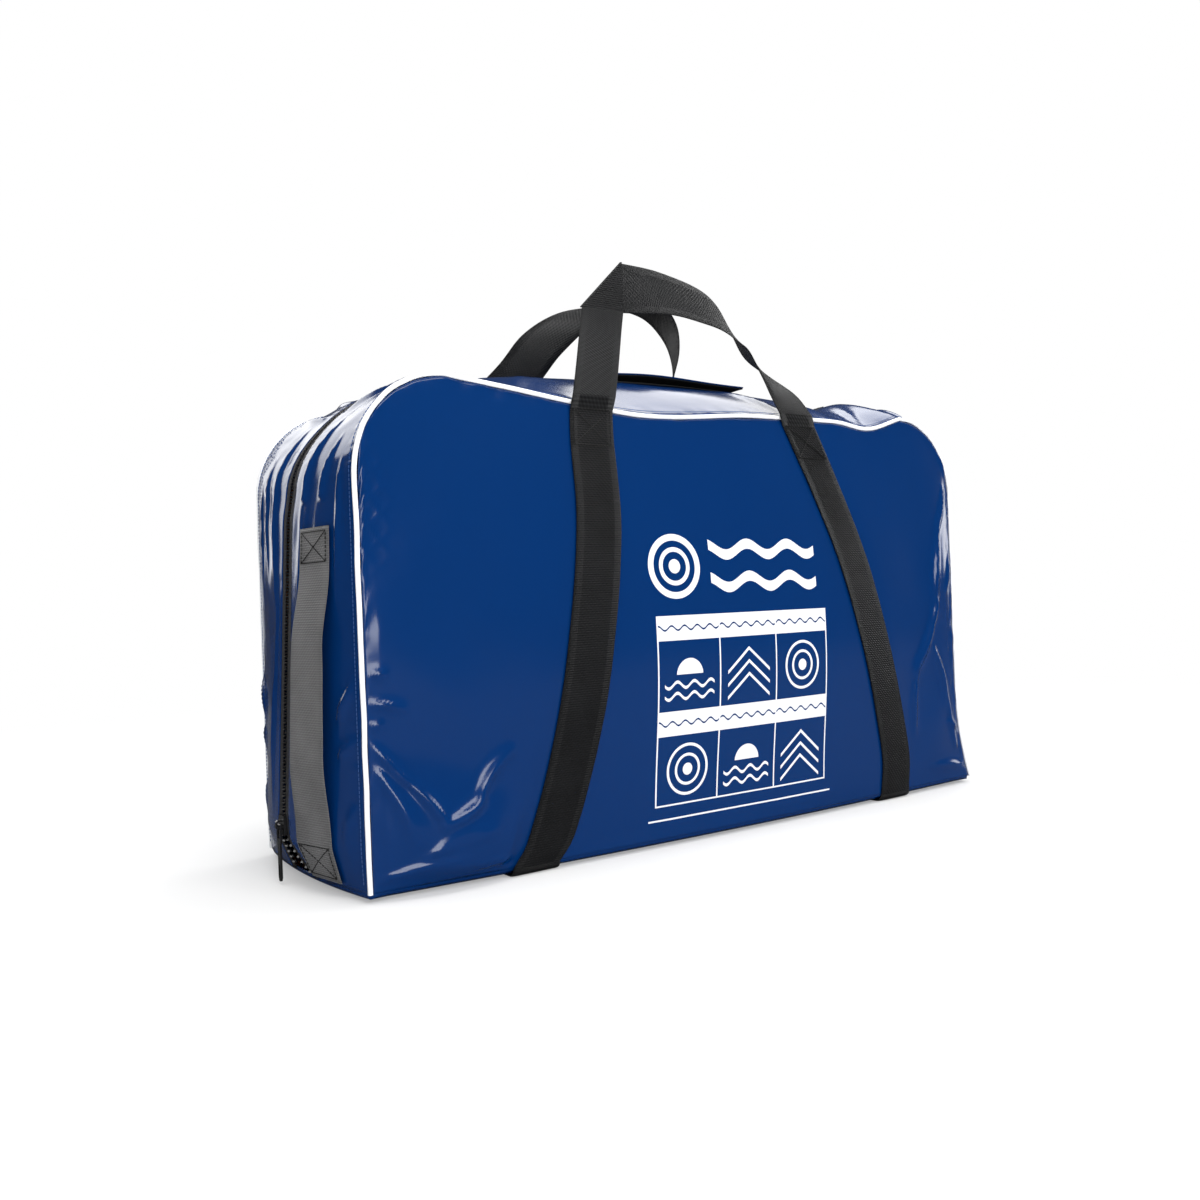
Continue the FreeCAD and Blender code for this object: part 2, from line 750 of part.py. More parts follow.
def flap_sheet(ys, offsets, thickness):
    """Strip along the top, at given heights over the gussets' crest line."""
    slices = []
    for k in range(7):
        x = flap_left + (flap_right - flap_left) * k / 6
        place = 2 + (x - top_run_left) / (top_run_right - top_run_left)
        under, over = [], []
        for y, offset in zip(ys, offsets):
            z = loop_point(place, y).z + offset
            under.append(vec(x, y, z))
            over.append(vec(x, y, z + thickness))
        slices.append((under, over))
    return loft(slices)


def flap_offset(y):
    """Gap under the flap: it lies on the rear gusset, passes over the zip and lifts to its free edge."""
    over_zip = tooth_height / 2 + seam_gap
    reach = (flap_rear - y) / (flap_rear - flap_front)
    return seam_gap + over_zip * min(1.0, 3 * reach) + (flap_lift - over_zip) * max(0.0, reach - 1 / 3) ** 2 * 2.25


def painter_flap():
    ys = [flap_front + (flap_rear - flap_front) * k / 6 for k in range(7)]
    return flap_sheet(ys, [flap_offset(y) for y in ys], flap_thickness)


def flap_hook_strip():
    ys = [flap_front + 2 + fastener_width * k / 2 for k in range(3)]
    return flap_sheet(ys, [flap_offset(y) - fastener_thickness - seam_gap for y in ys], fastener_thickness)


def flap_loop_strip():
    ys = [flap_front + 2 + fastener_width * k / 2 for k in range(3)]
    return flap_sheet(ys, [seam_gap] * 3, fastener_thickness)


# Packed raft

def packed_raft():
    """The folded raft in its inner bag, one sealed block that stands on the base."""
    left = -bag_length / 2 + raft_end_clearance
    right = bag_length / 2 - right_end_waist - raft_end_clearance
    depth = bag_depth - 2 * raft_side_clearance
    low = base_height + cloth_thickness
    block = Part.makeBox(right - left, depth, seam_height - raft_top_clearance - low, vec(left, -depth / 2, low))
    upper = [e for e in block.Edges if abs(e.CenterOfMass.z - block.BoundBox.ZMax) < 0.01
             and abs(e.Vertexes[0].Y - e.Vertexes[1].Y) > 1]
    return block.makeFillet(top_corner_radius, upper)


shapes = {
    "front_panel": front_panel(),
    "base_panel": base_panel(),
    "front_gusset": gusset(True),
    "rear_gusset": gusset(False),
    "front_piping": piping(),
    "zip_front_tape": zip_tape(True),
    "zip_rear_tape": zip_tape(False),
    "zip_front_teeth": zip_teeth(True),
    "zip_rear_teeth": zip_teeth(False),
    "zip_bottom_stop": zip_bottom_stop(),
    "zip_slider": zip_slider(),
    "zip_pull": zip_pull(),
    "front_webbing": front_webbing(),
    "rear_webbing": rear_webbing(),
    "left_end_handle": end_handle(place_at_height(end_handle_foot), place_at_height(end_handle_head)),
    "right_end_handle": end_handle(5 - place_at_height(end_handle_foot), 5 - place_at_height(end_handle_head)),
    "painter_flap": painter_flap(),
    "flap_hook_strip": flap_hook_strip(),
    "flap_loop_strip": flap_loop_strip(),
    "packed_raft": packed_raft(),
}
shapes["rear_panel"] = mirrored(shapes["front_panel"])
shapes["rear_piping"] = mirrored(shapes["front_piping"])

low_x = min(shape.BoundBox.XMin for shape in shapes.values())
high_x = max(shape.BoundBox.XMax for shape in shapes.values())
shift = vec(-(low_x + high_x) / 2, 0, 0)
for name, shape in shapes.items():
    shape.translate(shift)
    print(name, shape.isValid(), len(shape.Solids), round(shape.Volume / 1000, 2), "cm3")
    shape.exportStep("parts/" + name + ".step")
print("slider axis", straight_run_frame(slider_height).Rotation.multVec(vec(0, 0, 1)))
print("pull pin", pull_pin() + shift)
print("shift", shift)
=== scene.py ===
# %% [markdown]
# # A liferaft valise, dressed for its picture
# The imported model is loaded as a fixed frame. Each soft solid that shows is then replaced by a finer
# sheet of cloth or webbing that lies in the same place, with the folds and the finish of the real
# one. Everything is in metres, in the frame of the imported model.

# %% Load the frame
import math
import bpy
import bmesh
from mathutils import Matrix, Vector, noise


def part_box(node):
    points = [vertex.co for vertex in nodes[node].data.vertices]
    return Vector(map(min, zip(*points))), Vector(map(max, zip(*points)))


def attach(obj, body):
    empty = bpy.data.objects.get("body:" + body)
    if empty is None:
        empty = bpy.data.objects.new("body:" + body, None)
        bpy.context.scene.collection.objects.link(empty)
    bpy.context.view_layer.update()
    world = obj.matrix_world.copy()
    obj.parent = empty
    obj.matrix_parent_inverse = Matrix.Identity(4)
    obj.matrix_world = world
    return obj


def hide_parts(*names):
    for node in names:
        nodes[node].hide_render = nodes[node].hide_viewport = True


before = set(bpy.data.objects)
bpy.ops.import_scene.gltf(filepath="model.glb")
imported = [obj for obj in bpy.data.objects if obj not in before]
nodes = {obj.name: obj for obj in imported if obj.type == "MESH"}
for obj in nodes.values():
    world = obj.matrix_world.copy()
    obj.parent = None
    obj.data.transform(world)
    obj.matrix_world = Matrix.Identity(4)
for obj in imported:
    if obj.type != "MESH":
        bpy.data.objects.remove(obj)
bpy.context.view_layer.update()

# %% [markdown]
# ## The bag's own measures
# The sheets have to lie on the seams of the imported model, so the script works with the same few
# measures: the seam loop in the plane of the front piping, how far the gusset bulges between its
# two seams, and how far the panels crown. The bag is drawn about the middle of its front panel,
# and `shift_x` carries it to the middle of the whole part.

# %% Measures of the bag
piping_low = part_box("front_piping")[0]
half_length = 0.400
half_depth = 0.1225
seam_height = 0.446
corner_radius = 0.088
foot = 0.008
right_waist = 0.022
right_flare = 0.024
right_flare_height = 0.120
bead_radius = 0.0022
shift_x = piping_low[0] + bead_radius + half_length
top_left = -half_length + corner_radius
top_right = half_length - right_waist - corner_radius
corner_height = seam_height - corner_radius
print("shift", round(shift_x, 5))


def smooth_through(stations, at):
    """Value of a smooth curve through (place, value) pairs."""
    if at <= stations[0][0]:
        return stations[0][1]
    if at >= stations[-1][0]:
        return stations[-1][1]
    index = max(k for k in range(len(stations) - 1) if stations[k][0] <= at)

    def slope(k):
        low, high = max(k - 1, 0), min(k + 1, len(stations) - 1)
        return (stations[high][1] - stations[low][1]) / (stations[high][0] - stations[low][0])

    (p0, v0), (p1, v1) = stations[index], stations[index + 1]
    span = p1 - p0
    s = (at - p0) / span
    m0, m1 = slope(index) * span, slope(index + 1) * span
    return ((2 * s ** 3 - 3 * s ** 2 + 1) * v0 + (s ** 3 - 2 * s ** 2 + s) * m0
            + (3 * s ** 2 - 2 * s ** 3) * v1 + (s ** 3 - s ** 2) * m1)


# %% [markdown]
# The front and rear piping run in the same loop: up one end, over the sagging top and down the
# other. It could be a curve object, but a function of one place, from 0 to 5, can be asked for any
# point, and everything sewn to the loop then shares it.

# %% The seam loop
top_drop = [(0.0, 0.0), (0.18, 0.012), (0.36, 0.022), (0.60, 0.013), (0.82, 0.011), (0.91, 0.015), (1.0, 0.0)]


def right_side(z):
    """X of the right end seam: drawn in, and flared at the foot."""
    return half_length - right_waist + right_flare * max(0.0, 1 - z / right_flare_height) ** 2


def top_seam(x):
    share = (x - top_left) / (top_right - top_left)
    return seam_height - smooth_through(top_drop, min(max(share, 0.0), 1.0))


def seam_frame(place):
    """Point of the seam loop and its outward direction.

    Places 0 to 5 run up the left end, round its corner, over the top, round the corner and down.
    """
    if place <= 1:
        return -half_length, foot + place * (corner_height - foot), -1.0, 0.0
    if place <= 2:
        angle = math.pi - (place - 1) * math.pi / 2
        out_x, out_z = math.cos(angle), math.sin(angle)
        return top_left + corner_radius * out_x, corner_height + corner_radius * out_z, out_x, out_z
    if place <= 3:
        x = top_left + (place - 2) * (top_right - top_left)
        return x, top_seam(x), 0.0, 1.0
    if place <= 4:
        angle = math.pi / 2 - (place - 3) * math.pi / 2
        out_x, out_z = math.cos(angle), math.sin(angle)
        return top_right + corner_radius * out_x, corner_height + corner_radius * out_z, out_x, out_z
    z = foot + (5 - place) * (corner_height - foot)
    return right_side(z), z, 1.0, 0.0


# %% [markdown]
# A packed bag is never flat: its wall bulges between the seams and its panels crown. Both are
# given by short formulas, so that a sheet, a strap and a stitch at the same spot agree.

# %% Bulge of the gusset and crown of the panels
gusset_bulge = [
    (0.0, 0.013), (0.06, 0.023), (0.11, 0.029), (0.90, 0.014), (1.0, 0.009), (1.5, -0.003), (2.0, 0.009),
    (2.17, 0.036), (2.36, 0.054), (2.60, 0.047), (2.82, 0.038), (3.0, 0.034), (3.5, 0.026), (4.0, 0.016),
    (4.5, 0.020), (5.0, 0.010),
]
straight_low, straight_high = 0.11, 0.90
tape_edge = 0.012
handle_centre = half_depth - 0.0605
panel_crown = 0.028
crown_foot_share = 0.45
crown_height = 0.190


def bulge(place):
    if straight_low <= place <= straight_high:
        low, high = smooth_through(gusset_bulge, straight_low), smooth_through(gusset_bulge, straight_high)
        return low + (high - low) * (place - straight_low) / (straight_high - straight_low)
    return smooth_through(gusset_bulge, place)


def loop_point(place, y, lift=0.0):
    """Point on the gusset, lifted off it along the outward direction of the loop."""
    x, z, out_x, out_z = seam_frame(place)
    share = min(max((half_depth - abs(y)) / (half_depth - tape_edge), 0.0), 1.0)
    reach = bulge(place) * math.sin(share * math.pi / 2) + lift
    return Vector((x + reach * out_x + shift_x, y, z + reach * out_z))


def crown(x, z):
    """How far a panel stands out of its seam plane, with X from the panel's own middle."""
    half = -half_length if x < 0 else right_side(z)
    across = max(0.0, 1 - (x / half) ** 2)
    if z < crown_height:
        rise = (1 - math.cos(math.pi * max(z, 0.0) / crown_height)) / 2
        return panel_crown * across * (crown_foot_share + (1 - crown_foot_share) * rise)
    up = (z - crown_height) / (top_seam(x) - crown_height)
    return panel_crown * across * max(0.0, 1 - up ** 2)


def place_at_height(z):
    return (z - foot) / (corner_height - foot)


# %% [markdown]
# ## Shader maths in plain expressions
# Node trees get hard to read when each sum is three lines of links. A small class wraps a socket
# and overloads the operators, so that a mask can be written as a formula. Each operation adds one
# Math node to the tree.

# %% A socket that can be added and multiplied
class Wire:
    """A value socket of a material's tree that takes part in Python arithmetic."""

    def __init__(self, tree, socket):
        self.tree, self.socket = tree, socket

    def maths(self, operation, *others, swap=False):
        inputs = [self] + list(others)
        if swap:
            inputs.reverse()
        node = self.tree.nodes.new("ShaderNodeMath")
        node.operation = operation
        for socket, value in zip(node.inputs, inputs):
            if isinstance(value, Wire):
                self.tree.links.new(value.socket, socket)
            else:
                socket.default_value = value
        return Wire(self.tree, node.outputs[0])

    def __add__(self, other):
        return self.maths("ADD", other)

    __radd__ = __add__

    def __sub__(self, other):
        return self.maths("SUBTRACT", other)

    def __rsub__(self, other):
        return self.maths("SUBTRACT", other, swap=True)

    def __mul__(self, other):
        return self.maths("MULTIPLY", other)

    __rmul__ = __mul__

    def __pow__(self, other):
        return self.maths("POWER", other)

    def absolute(self):
        return self.maths("ABSOLUTE")

    def sine(self):
        return self.maths("SINE")

    def above(self, other):
        return self.maths("GREATER_THAN", other)

    def below(self, other):
        return self.maths("LESS_THAN", other)

    def at_least(self, other):
        return self.maths("MAXIMUM", other)


# %% [markdown]
# Every material here is a Principled shader with a few nodes before it. One class makes them, so
# that a finish reads as a short list of what varies over the surface.

# %% One method for every other node
class Finish:
    """A material under construction."""

    def __init__(self, name, colour, roughness):
        self.material = bpy.data.materials.new(name)
        self.material.use_nodes = True
        self.tree = self.material.node_tree
        self.shader = self.tree.nodes["Principled BSDF"]
        self.shader.inputs["Base Color"].default_value = (*colour, 1.0)
        self.shader.inputs["Roughness"].default_value = roughness
        self.material.diffuse_color = (*colour, 1.0)

    def node(self, kind, settings=None, inputs=None, output=0):
        node = self.tree.nodes.new(kind)
        for key, value in (settings or {}).items():
            setattr(node, key, value)
        for key, value in (inputs or {}).items():
            self.join(value, node.inputs[key])
        return Wire(self.tree, node.outputs[output])

    def join(self, value, socket):
        if isinstance(value, Wire):
            self.tree.links.new(value.socket, socket)
        else:
            socket.default_value = value

    def feed(self, **sockets):
        for name, value in sockets.items():
            self.join(value, self.shader.inputs[name.replace("_", " ")])

    def place(self):
        """X, Y and Z of the surface, in metres."""
        coordinates = self.node("ShaderNodeTexCoord", output=3)
        split = self.node("ShaderNodeSeparateXYZ", inputs={"Vector": coordinates})
        return [Wire(self.tree, split.socket.node.outputs[k]) for k in range(3)]

    def grain(self, scale, detail=4.0, roughness=0.5, vector=None):
        inputs = {"Scale": scale, "Detail": detail, "Roughness": roughness}
        inputs["Vector"] = vector or self.node("ShaderNodeTexCoord", output=3)
        return self.node("ShaderNodeTexNoise", inputs=inputs)

    def bump(self, height, distance, strength=1.0):
        inputs = {"Height": height, "Distance": distance, "Strength": strength}
        self.feed(Normal=self.node("ShaderNodeBump", inputs=inputs))

    def glow(self, share, strength=1.0):
        """Hands a share of the surface over to plain white light."""
        light = self.tree.nodes.new("ShaderNodeEmission")
        light.inputs["Strength"].default_value = strength
        mixed = self.tree.nodes.new("ShaderNodeMixShader")
        self.join(share, mixed.inputs[0])
        self.tree.links.new(self.shader.outputs[0], mixed.inputs[1])
        self.tree.links.new(light.outputs[0], mixed.inputs[2])
        self.tree.links.new(mixed.outputs[0], self.tree.nodes["Material Output"].inputs["Surface"])

    def mix(self, factor, one, two):
        """Colour between two colours."""
        node = self.tree.nodes.new("ShaderNodeMix")
        node.data_type = "RGBA"
        self.join(factor, node.inputs["Factor"])
        for key, value in ((6, one), (7, two)):
            self.join(value if isinstance(value, Wire) else (*value, 1.0), node.inputs[key])
        return Wire(self.tree, node.outputs[2])


# %% [markdown]
# ## Coated cloth
# The bag is cut from polyester cloth with a thick glossy PVC coat. It is almost black-blue where
# it mirrors nothing, and it takes bright streaks wherever a fold faces a lamp. The colour hardly
# changes, so the interest is all in the gloss: a very smooth coat, a faint orange peel, and the
# ghost of the weave below it. The large folds are in the mesh itself, further down.

# %% Blue coated cloth
cloth_blue = (0.0003, 0.0265, 0.126)
cloth_deep = (0.0003, 0.0215, 0.106)


def coated_cloth(name):
    finish = Finish(name, cloth_blue, 0.2)
    cloudy = finish.grain(3.0, 3.0)
    finish.feed(Base_Color=finish.mix(cloudy, cloth_deep, cloth_blue))
    finish.feed(Roughness=0.11 + 0.08 * finish.grain(7.0, 3.0))
    ripple = finish.grain(22.0, 2.0, 0.4)
    peel = finish.grain(900.0, 1.0)
    finish.bump(ripple * 0.9 + peel * 0.06, 0.0004)
    finish.shader.inputs["Specular IOR Level"].default_value = 0.45
    return finish


blue_cloth = coated_cloth("blue_coated_cloth").material


# %% [markdown]
# ## The print
# White ink stands out on the blue cloth: rings and two broad waves over a framed panel of six small
# pictures, each made of rings, waves, chevrons or a low sun. It could be a picture file or a set of
# thin meshes. Formulas on Object coordinates need neither, and the ink keeps the gloss of the cloth.

# %% Formulas for the print
print_left, print_width = -0.110, 0.235
frame_low, frame_high = 0.040, 0.226
emblem_x, emblem_z = -0.083, 0.274
rule_thickness = 0.0016


def band(value, low, high):
    return value.above(low) * value.below(high)


def near(value, thickness):
    return value.absolute().below(thickness / 2)


def waves(x, height, length, swing):
    """Height over a wavy line."""
    return height - (x * (2 * math.pi / length)).sine() * swing


def emblem(x, z):
    """Two rings and a dot, with two broad waves beside them."""
    dx, dz = x - emblem_x, z - emblem_z
    radius = (dx * dx + dz * dz) ** 0.5
    rings = near(radius - 0.0285, 0.0065).at_least(near(radius - 0.0165, 0.0045))
    rings = rings.at_least(radius.below(0.007))
    beside = band(x, emblem_x + 0.045, print_left + print_width - 0.012)
    upper = near(waves(x, z - emblem_z - 0.0165, 0.058, 0.0055), 0.0105)
    lower = near(waves(x, z - emblem_z + 0.0165, 0.058, 0.0055), 0.0105)
    return rings.at_least(upper.at_least(lower) * beside)


def picture(kind, dx, dz):
    """One small picture about its own middle: rings, a sun over waves or chevrons."""
    radius = (dx * dx + dz * dz) ** 0.5
    if kind == 0:
        rings = near(radius - 0.0245, 0.0028).at_least(near(radius - 0.0145, 0.0028))
        return rings.at_least(radius.below(0.006))
    if kind == 1:
        sun = radius.below(0.0165) * dz.above(0.001)
        upper = near(waves(dx, dz + 0.009, 0.021, 0.0030), 0.0030)
        lower = near(waves(dx, dz + 0.020, 0.021, 0.0030), 0.0030)
        return sun.at_least(upper).at_least(lower) * dx.absolute().below(0.031)
    roof = dx.absolute() * 0.8 + dz
    rafters = near(roof - 0.022, 0.0034).at_least(near(roof - 0.009, 0.0034))
    rafters = rafters.at_least(near(roof + 0.004, 0.0034))
    return rafters * dx.absolute().below(0.029)


# %% [markdown]
# The panel is two rows of three pictures, each row under a white band. Loops place the pictures,
# and the larger of two masks joins them, as ink laid over ink does.

# %% The framed panel and the whole mask
def framed_panel(x, z):
    """Six pictures in two rows, each row under a white band with a wavy line left out of it."""
    row_height = (frame_high - frame_low) / 2
    cell = print_width / 3
    inside = band(x, print_left, print_left + print_width) * band(z, frame_low, frame_high)
    core = band(x, print_left + rule_thickness, print_left + print_width - rule_thickness)
    core = core * band(z, frame_low + rule_thickness, frame_high - rule_thickness)
    marks = 1 - core
    for row in range(2):
        low = frame_low + row * row_height
        head = band(z, low + 0.74 * row_height, low + row_height)
        gap = near(waves(x, z - (low + 0.87 * row_height), 0.016, 0.0022), 0.0018)
        marks = marks.at_least(head * (1 - gap))
        for column in range(3):
            dx = x - (print_left + cell * (column + 0.5))
            dz = z - (low + 0.37 * row_height)
            marks = marks.at_least(picture((column + row) % 3, dx, dz) * band(dz, -0.030, 0.030))
    for column in (1, 2):
        marks = marks.at_least(near(x - (print_left + cell * column), rule_thickness))
    return marks * inside


def print_mask(finish):
    """Mask that is 1 on the ink, on the front of the bag only."""
    x, y, z = finish.place()
    x = x - shift_x
    rule = near(z - 0.027, 0.0017) * band(x, print_left - 0.008, print_left + print_width + 0.008)
    return emblem(x, z).at_least(framed_panel(x, z)).at_least(rule) * y.below(0.0)


# %% [markdown]
# The printed cloth is the same blue cloth with the ink mixed over its colour. Gloss and bump stay
# as they are, because the ink lies in the coat.

# %% Printed cloth
printed = coated_cloth("printed_coated_cloth")
ink_mask = print_mask(printed)
ink_white = (0.78, 0.80, 0.84)
under_ink = Wire(printed.tree, printed.shader.inputs["Base Color"].links[0].from_socket)
printed.feed(Base_Color=printed.mix(ink_mask, under_ink, ink_white))
printed_cloth = printed.material
print("materials", len(bpy.data.materials))


# %% [markdown]
# ## Webbing
# Heavy polyester webbing is woven with fine ribs across its width and a smooth round selvedge.
# Each strap carries its own UV map in metres, U across and V along, so the ribs follow it round
# every bend. The ribs are too fine to model, so they are bump, with painted shade in the grooves
# between them; the thickness and the edges are mesh.

# %% Webbing finish
rib_pitch = 0.0021


def webbing_finish(name, colour, lift):
    finish = Finish(name, colour, 0.5)
    uv = finish.node("ShaderNodeTexCoord", output=2)
    split = finish.node("ShaderNodeSeparateXYZ", inputs={"Vector": uv})
    across = Wire(finish.tree, split.socket.node.outputs[0])
    along = Wire(finish.tree, split.socket.node.outputs[1])
    rib = (along * (2 * math.pi / rib_pitch)).sine()
    cross = (across * (2 * math.pi / 0.0016) + along * (math.pi / rib_pitch)).sine()
    height = rib * 0.5 + cross * 0.3
    patchy = finish.grain(34.0, 4.0)
    # Painted shade: the rib crests are lighter and the grooves between them darker; the patchy grain varies
    # the tone at random.
    rib_shade_and_patches = (rib * 0.5 + 0.5) * 0.45 + patchy * 0.75
    finish.feed(Base_Color=finish.mix(rib_shade_and_patches, colour, tuple(c * lift for c in colour)))
    finish.feed(Roughness=0.34 + 0.16 * patchy)
    finish.bump(height, 0.0003)
    finish.shader.inputs["Specular IOR Level"].default_value = 0.3
    return finish.material


black_webbing = webbing_finish("black_webbing", (0.0016, 0.0017, 0.0020), 4.0)
grey_webbing = webbing_finish("worn_grey_webbing", (0.052, 0.052, 0.053), 3.2)


# %% [markdown]
# The small parts need only a colour, a roughness and a little grain. Piping is glossy PVC, tape is
# a fine weave, teeth are moulded and the slider is enamelled.

# %% Piping, tape, teeth, metal, stitching
def piping_finish():
    finish = Finish("white_piping", (0.80, 0.81, 0.84), 0.32)
    finish.feed(Base_Color=finish.mix(finish.grain(40.0), (0.84, 0.85, 0.88), (0.94, 0.95, 0.96)))
    finish.bump(finish.grain(300.0), 0.0002)
    return finish.material


def tape_finish():
    finish = Finish("zip_tape", (0.012, 0.012, 0.014), 0.7)
    x, y, z = finish.place()
    weave = (y * (2 * math.pi / 0.0012)).sine() * 0.5 + ((x + z) * (2 * math.pi / 0.0013)).sine() * 0.5
    # Painted shade: the colour follows the weave, darker in its grooves and lighter on its crests.
    finish.feed(Base_Color=finish.mix(weave * 0.5 + 0.5, (0.008, 0.008, 0.010), (0.030, 0.030, 0.034)))
    finish.bump(weave, 0.0002)
    return finish.material


def moulded_finish(name, colour, roughness, metallic=0.0):
    finish = Finish(name, colour, roughness)
    finish.feed(Roughness=roughness * 0.75 + 0.5 * roughness * finish.grain(90.0))
    finish.bump(finish.grain(600.0), 0.00006)
    finish.shader.inputs["Metallic"].default_value = metallic
    return finish.material


white_piping = piping_finish()
zip_tape = tape_finish()
tooth_black = moulded_finish("moulded_teeth", (0.016, 0.016, 0.018), 0.34)
enamel_black = moulded_finish("black_enamel", (0.014, 0.014, 0.015), 0.24, 0.3)
thread_black = moulded_finish("black_thread", (0.004, 0.004, 0.004), 0.6)
hook_black = moulded_finish("hook_and_loop", (0.006, 0.007, 0.008), 0.9)
raft_orange = moulded_finish("raft_cloth", (0.55, 0.16, 0.03), 0.55)


# %% [markdown]
# ## Sheets from grids
# Every sheet of the bag starts as a flat grid from bmesh, whose vertices are then laid on the
# bag's surface by a function of two shares. The grid keeps its order, so the same call can also
# carry the UV map. A fold is one more function: it says how far the sheet stands off at a point.

# %% Lay a grid on a surface
def laid_grid(name, columns, rows, surface, uv=None):
    """Mesh object whose grid is carried to surface(u, v)."""
    mesh = bpy.data.meshes.new(name)
    bm = bmesh.new()
    layer = bm.loops.layers.uv.new("UVMap")
    bmesh.ops.create_grid(bm, x_segments=columns, y_segments=rows, size=0.5)
    shares = {vert: (vert.co.x + 0.5, vert.co.y + 0.5) for vert in bm.verts}
    for face in bm.faces:
        for loop in face.loops:
            u, v = shares[loop.vert]
            loop[layer].uv = uv(u, v) if uv else (u, v)
        face.smooth = True
    for vert, (u, v) in shares.items():
        vert.co = surface(u, v)
    bm.to_mesh(mesh)
    bm.free()
    piece = bpy.data.objects.new(name, mesh)
    bpy.context.collection.objects.link(piece)
    return piece


def finished(piece, material, *replaced, slot):
    piece.data.materials.clear()
    piece.data.materials.append(material)
    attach(piece, "valise")
    if replaced:
        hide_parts(*replaced)
    return piece


def thicken(piece, thickness, offset=-1.0):
    solid = piece.modifiers.new("wall", "SOLIDIFY")
    solid.thickness = thickness
    solid.offset = offset
    solid.use_even_offset = False


def face_outwards(piece, centre):
    """Turn the sheet over if it looks at the middle of the bag."""
    total = sum((poly.normal.dot(poly.center - centre) * poly.area for poly in piece.data.polygons))
    if total < 0:
        piece.data.flip_normals()


bag_middle = Vector((shift_x, 0.0, 0.22))
cloth_thickness = 0.0012


# %% [markdown]
# ## Folds
# Coated cloth is stiff, so it doesn't ripple like cotton: it buckles into a few long ridges that
# start at a seam or a corner and fade out, with a sharp crest on one side. Each ridge here is a
# stroke from one point of the sheet to another, with a width and a height. Between the strokes a
# slow noise keeps the surface from being a perfect curve.

# %% A ridge as a stroke
def ridge(px, pz, x0, z0, x1, z1, width, height, bend=0.0):
    """Height of a tapered ridge at a point. Bend bows the stroke sideways."""
    dx, dz = x1 - x0, z1 - z0
    length = math.hypot(dx, dz)
    along = ((px - x0) * dx + (pz - z0) * dz) / length ** 2
    if along < -0.15 or along > 1.15:
        return 0.0
    side = ((px - x0) * dz - (pz - z0) * dx) / length
    side += bend * math.sin(math.pi * min(max(along, 0.0), 1.0))
    taper = math.sin(math.pi * min(max((along + 0.15) / 1.3, 0.0), 1.0))
    local = width * (0.45 + 0.55 * min(max(along, 0.0), 1.0))
    if abs(side) > 3.2 * local:
        return 0.0
    lean = side / local
    profile = math.exp(-lean * lean) * (1 + 0.5 * math.tanh(lean * 2.5))
    return height * taper * profile


# Strokes on the front panel: from (x, z) to (x, z), width, height, bend
front_strokes = [
    (-0.396, 0.134, -0.368, 0.101, 0.0055, 0.0040, 0.000),
    (-0.371, 0.104, -0.334, 0.060, 0.0065, 0.0050, 0.002),
    (-0.338, 0.058, -0.300, 0.078, 0.0075, 0.0050, -0.002),
    (-0.306, 0.072, -0.272, 0.116, 0.0090, 0.0040, 0.004),
    (-0.392, 0.112, -0.362, 0.050, 0.0100, 0.0045, 0.004),
    (-0.352, 0.036, -0.292, 0.050, 0.0090, 0.0040, 0.004),
    (-0.390, 0.020, -0.320, 0.028, 0.0070, 0.0030, 0.003),
    (-0.399, 0.193, -0.380, 0.189, 0.0045, 0.0030, 0.000),
    (-0.399, 0.167, -0.366, 0.160, 0.0055, 0.0034, 0.001),
    (-0.399, 0.150, -0.384, 0.147, 0.0040, 0.0024, 0.000),
    (-0.320, 0.014, -0.262, 0.020, 0.0050, 0.0024, 0.002),
    (0.364, 0.362, 0.345, 0.312, 0.0060, 0.0034, 0.002),
    (0.346, 0.318, 0.334, 0.214, 0.0075, 0.0044, -0.003),
    (0.336, 0.226, 0.292, 0.146, 0.0085, 0.0050, 0.005),
    (0.293, 0.152, 0.288, 0.074, 0.0070, 0.0040, -0.003),
    (0.332, 0.168, 0.352, 0.100, 0.0080, 0.0044, 0.004),
    (0.354, 0.108, 0.372, 0.050, 0.0070, 0.0034, -0.003),
    (0.352, 0.080, 0.382, 0.064, 0.0060, 0.0030, 0.002),
    (0.322, 0.030, 0.392, 0.020, 0.0080, 0.0030, 0.004),
    (0.372, 0.300, 0.360, 0.240, 0.0055, 0.0030, 0.002),
]

# Swellings: middle (x, z), reach in x and z, height
front_swells = [
    (-0.318, 0.040, 0.062, 0.044, 0.0125),
    (-0.366, 0.070, 0.030, 0.034, 0.0040),
    (0.335, 0.070, 0.040, 0.050, 0.0045),
    (0.350, 0.260, 0.026, 0.090, 0.0035),
]


def swell(x, z, middle_x, middle_z, reach_x, reach_z, height):
    away = ((x - middle_x) / reach_x) ** 2 + ((z - middle_z) / reach_z) ** 2
    return height * math.exp(-away)


# %% [markdown]
# Cloth under a sewn strap can't lift. A mask round both runs takes the folds away there, which
# also keeps the cloth from coming through the strap.

# %% Where the webbing holds the panel down
left_run = [(0.008, -0.244), (0.028, -0.229), (0.099, -0.206), (0.207, -0.184), (0.318, -0.167),
            (0.394, -0.164), (0.425, -0.160)]
right_run = [(0.008, 0.246), (0.046, 0.249), (0.093, 0.238), (0.187, 0.208), (0.277, 0.177),
             (0.344, 0.149), (0.388, 0.131), (0.425, 0.117)]


def held_down(x, z):
    """Share from 0, free, to 1, right under a strap."""
    nearest = min(abs(x - smooth_through(run, z)) for run in (left_run, right_run))
    return min(max(1 - (nearest - 0.028) / 0.016, 0.0), 1.0)


# %% [markdown]
# Beside the piping the cloth is gathered by the seam. Zigzag creases and a short pucker are too
# small for strokes, so they are functions of the distance to the edge.

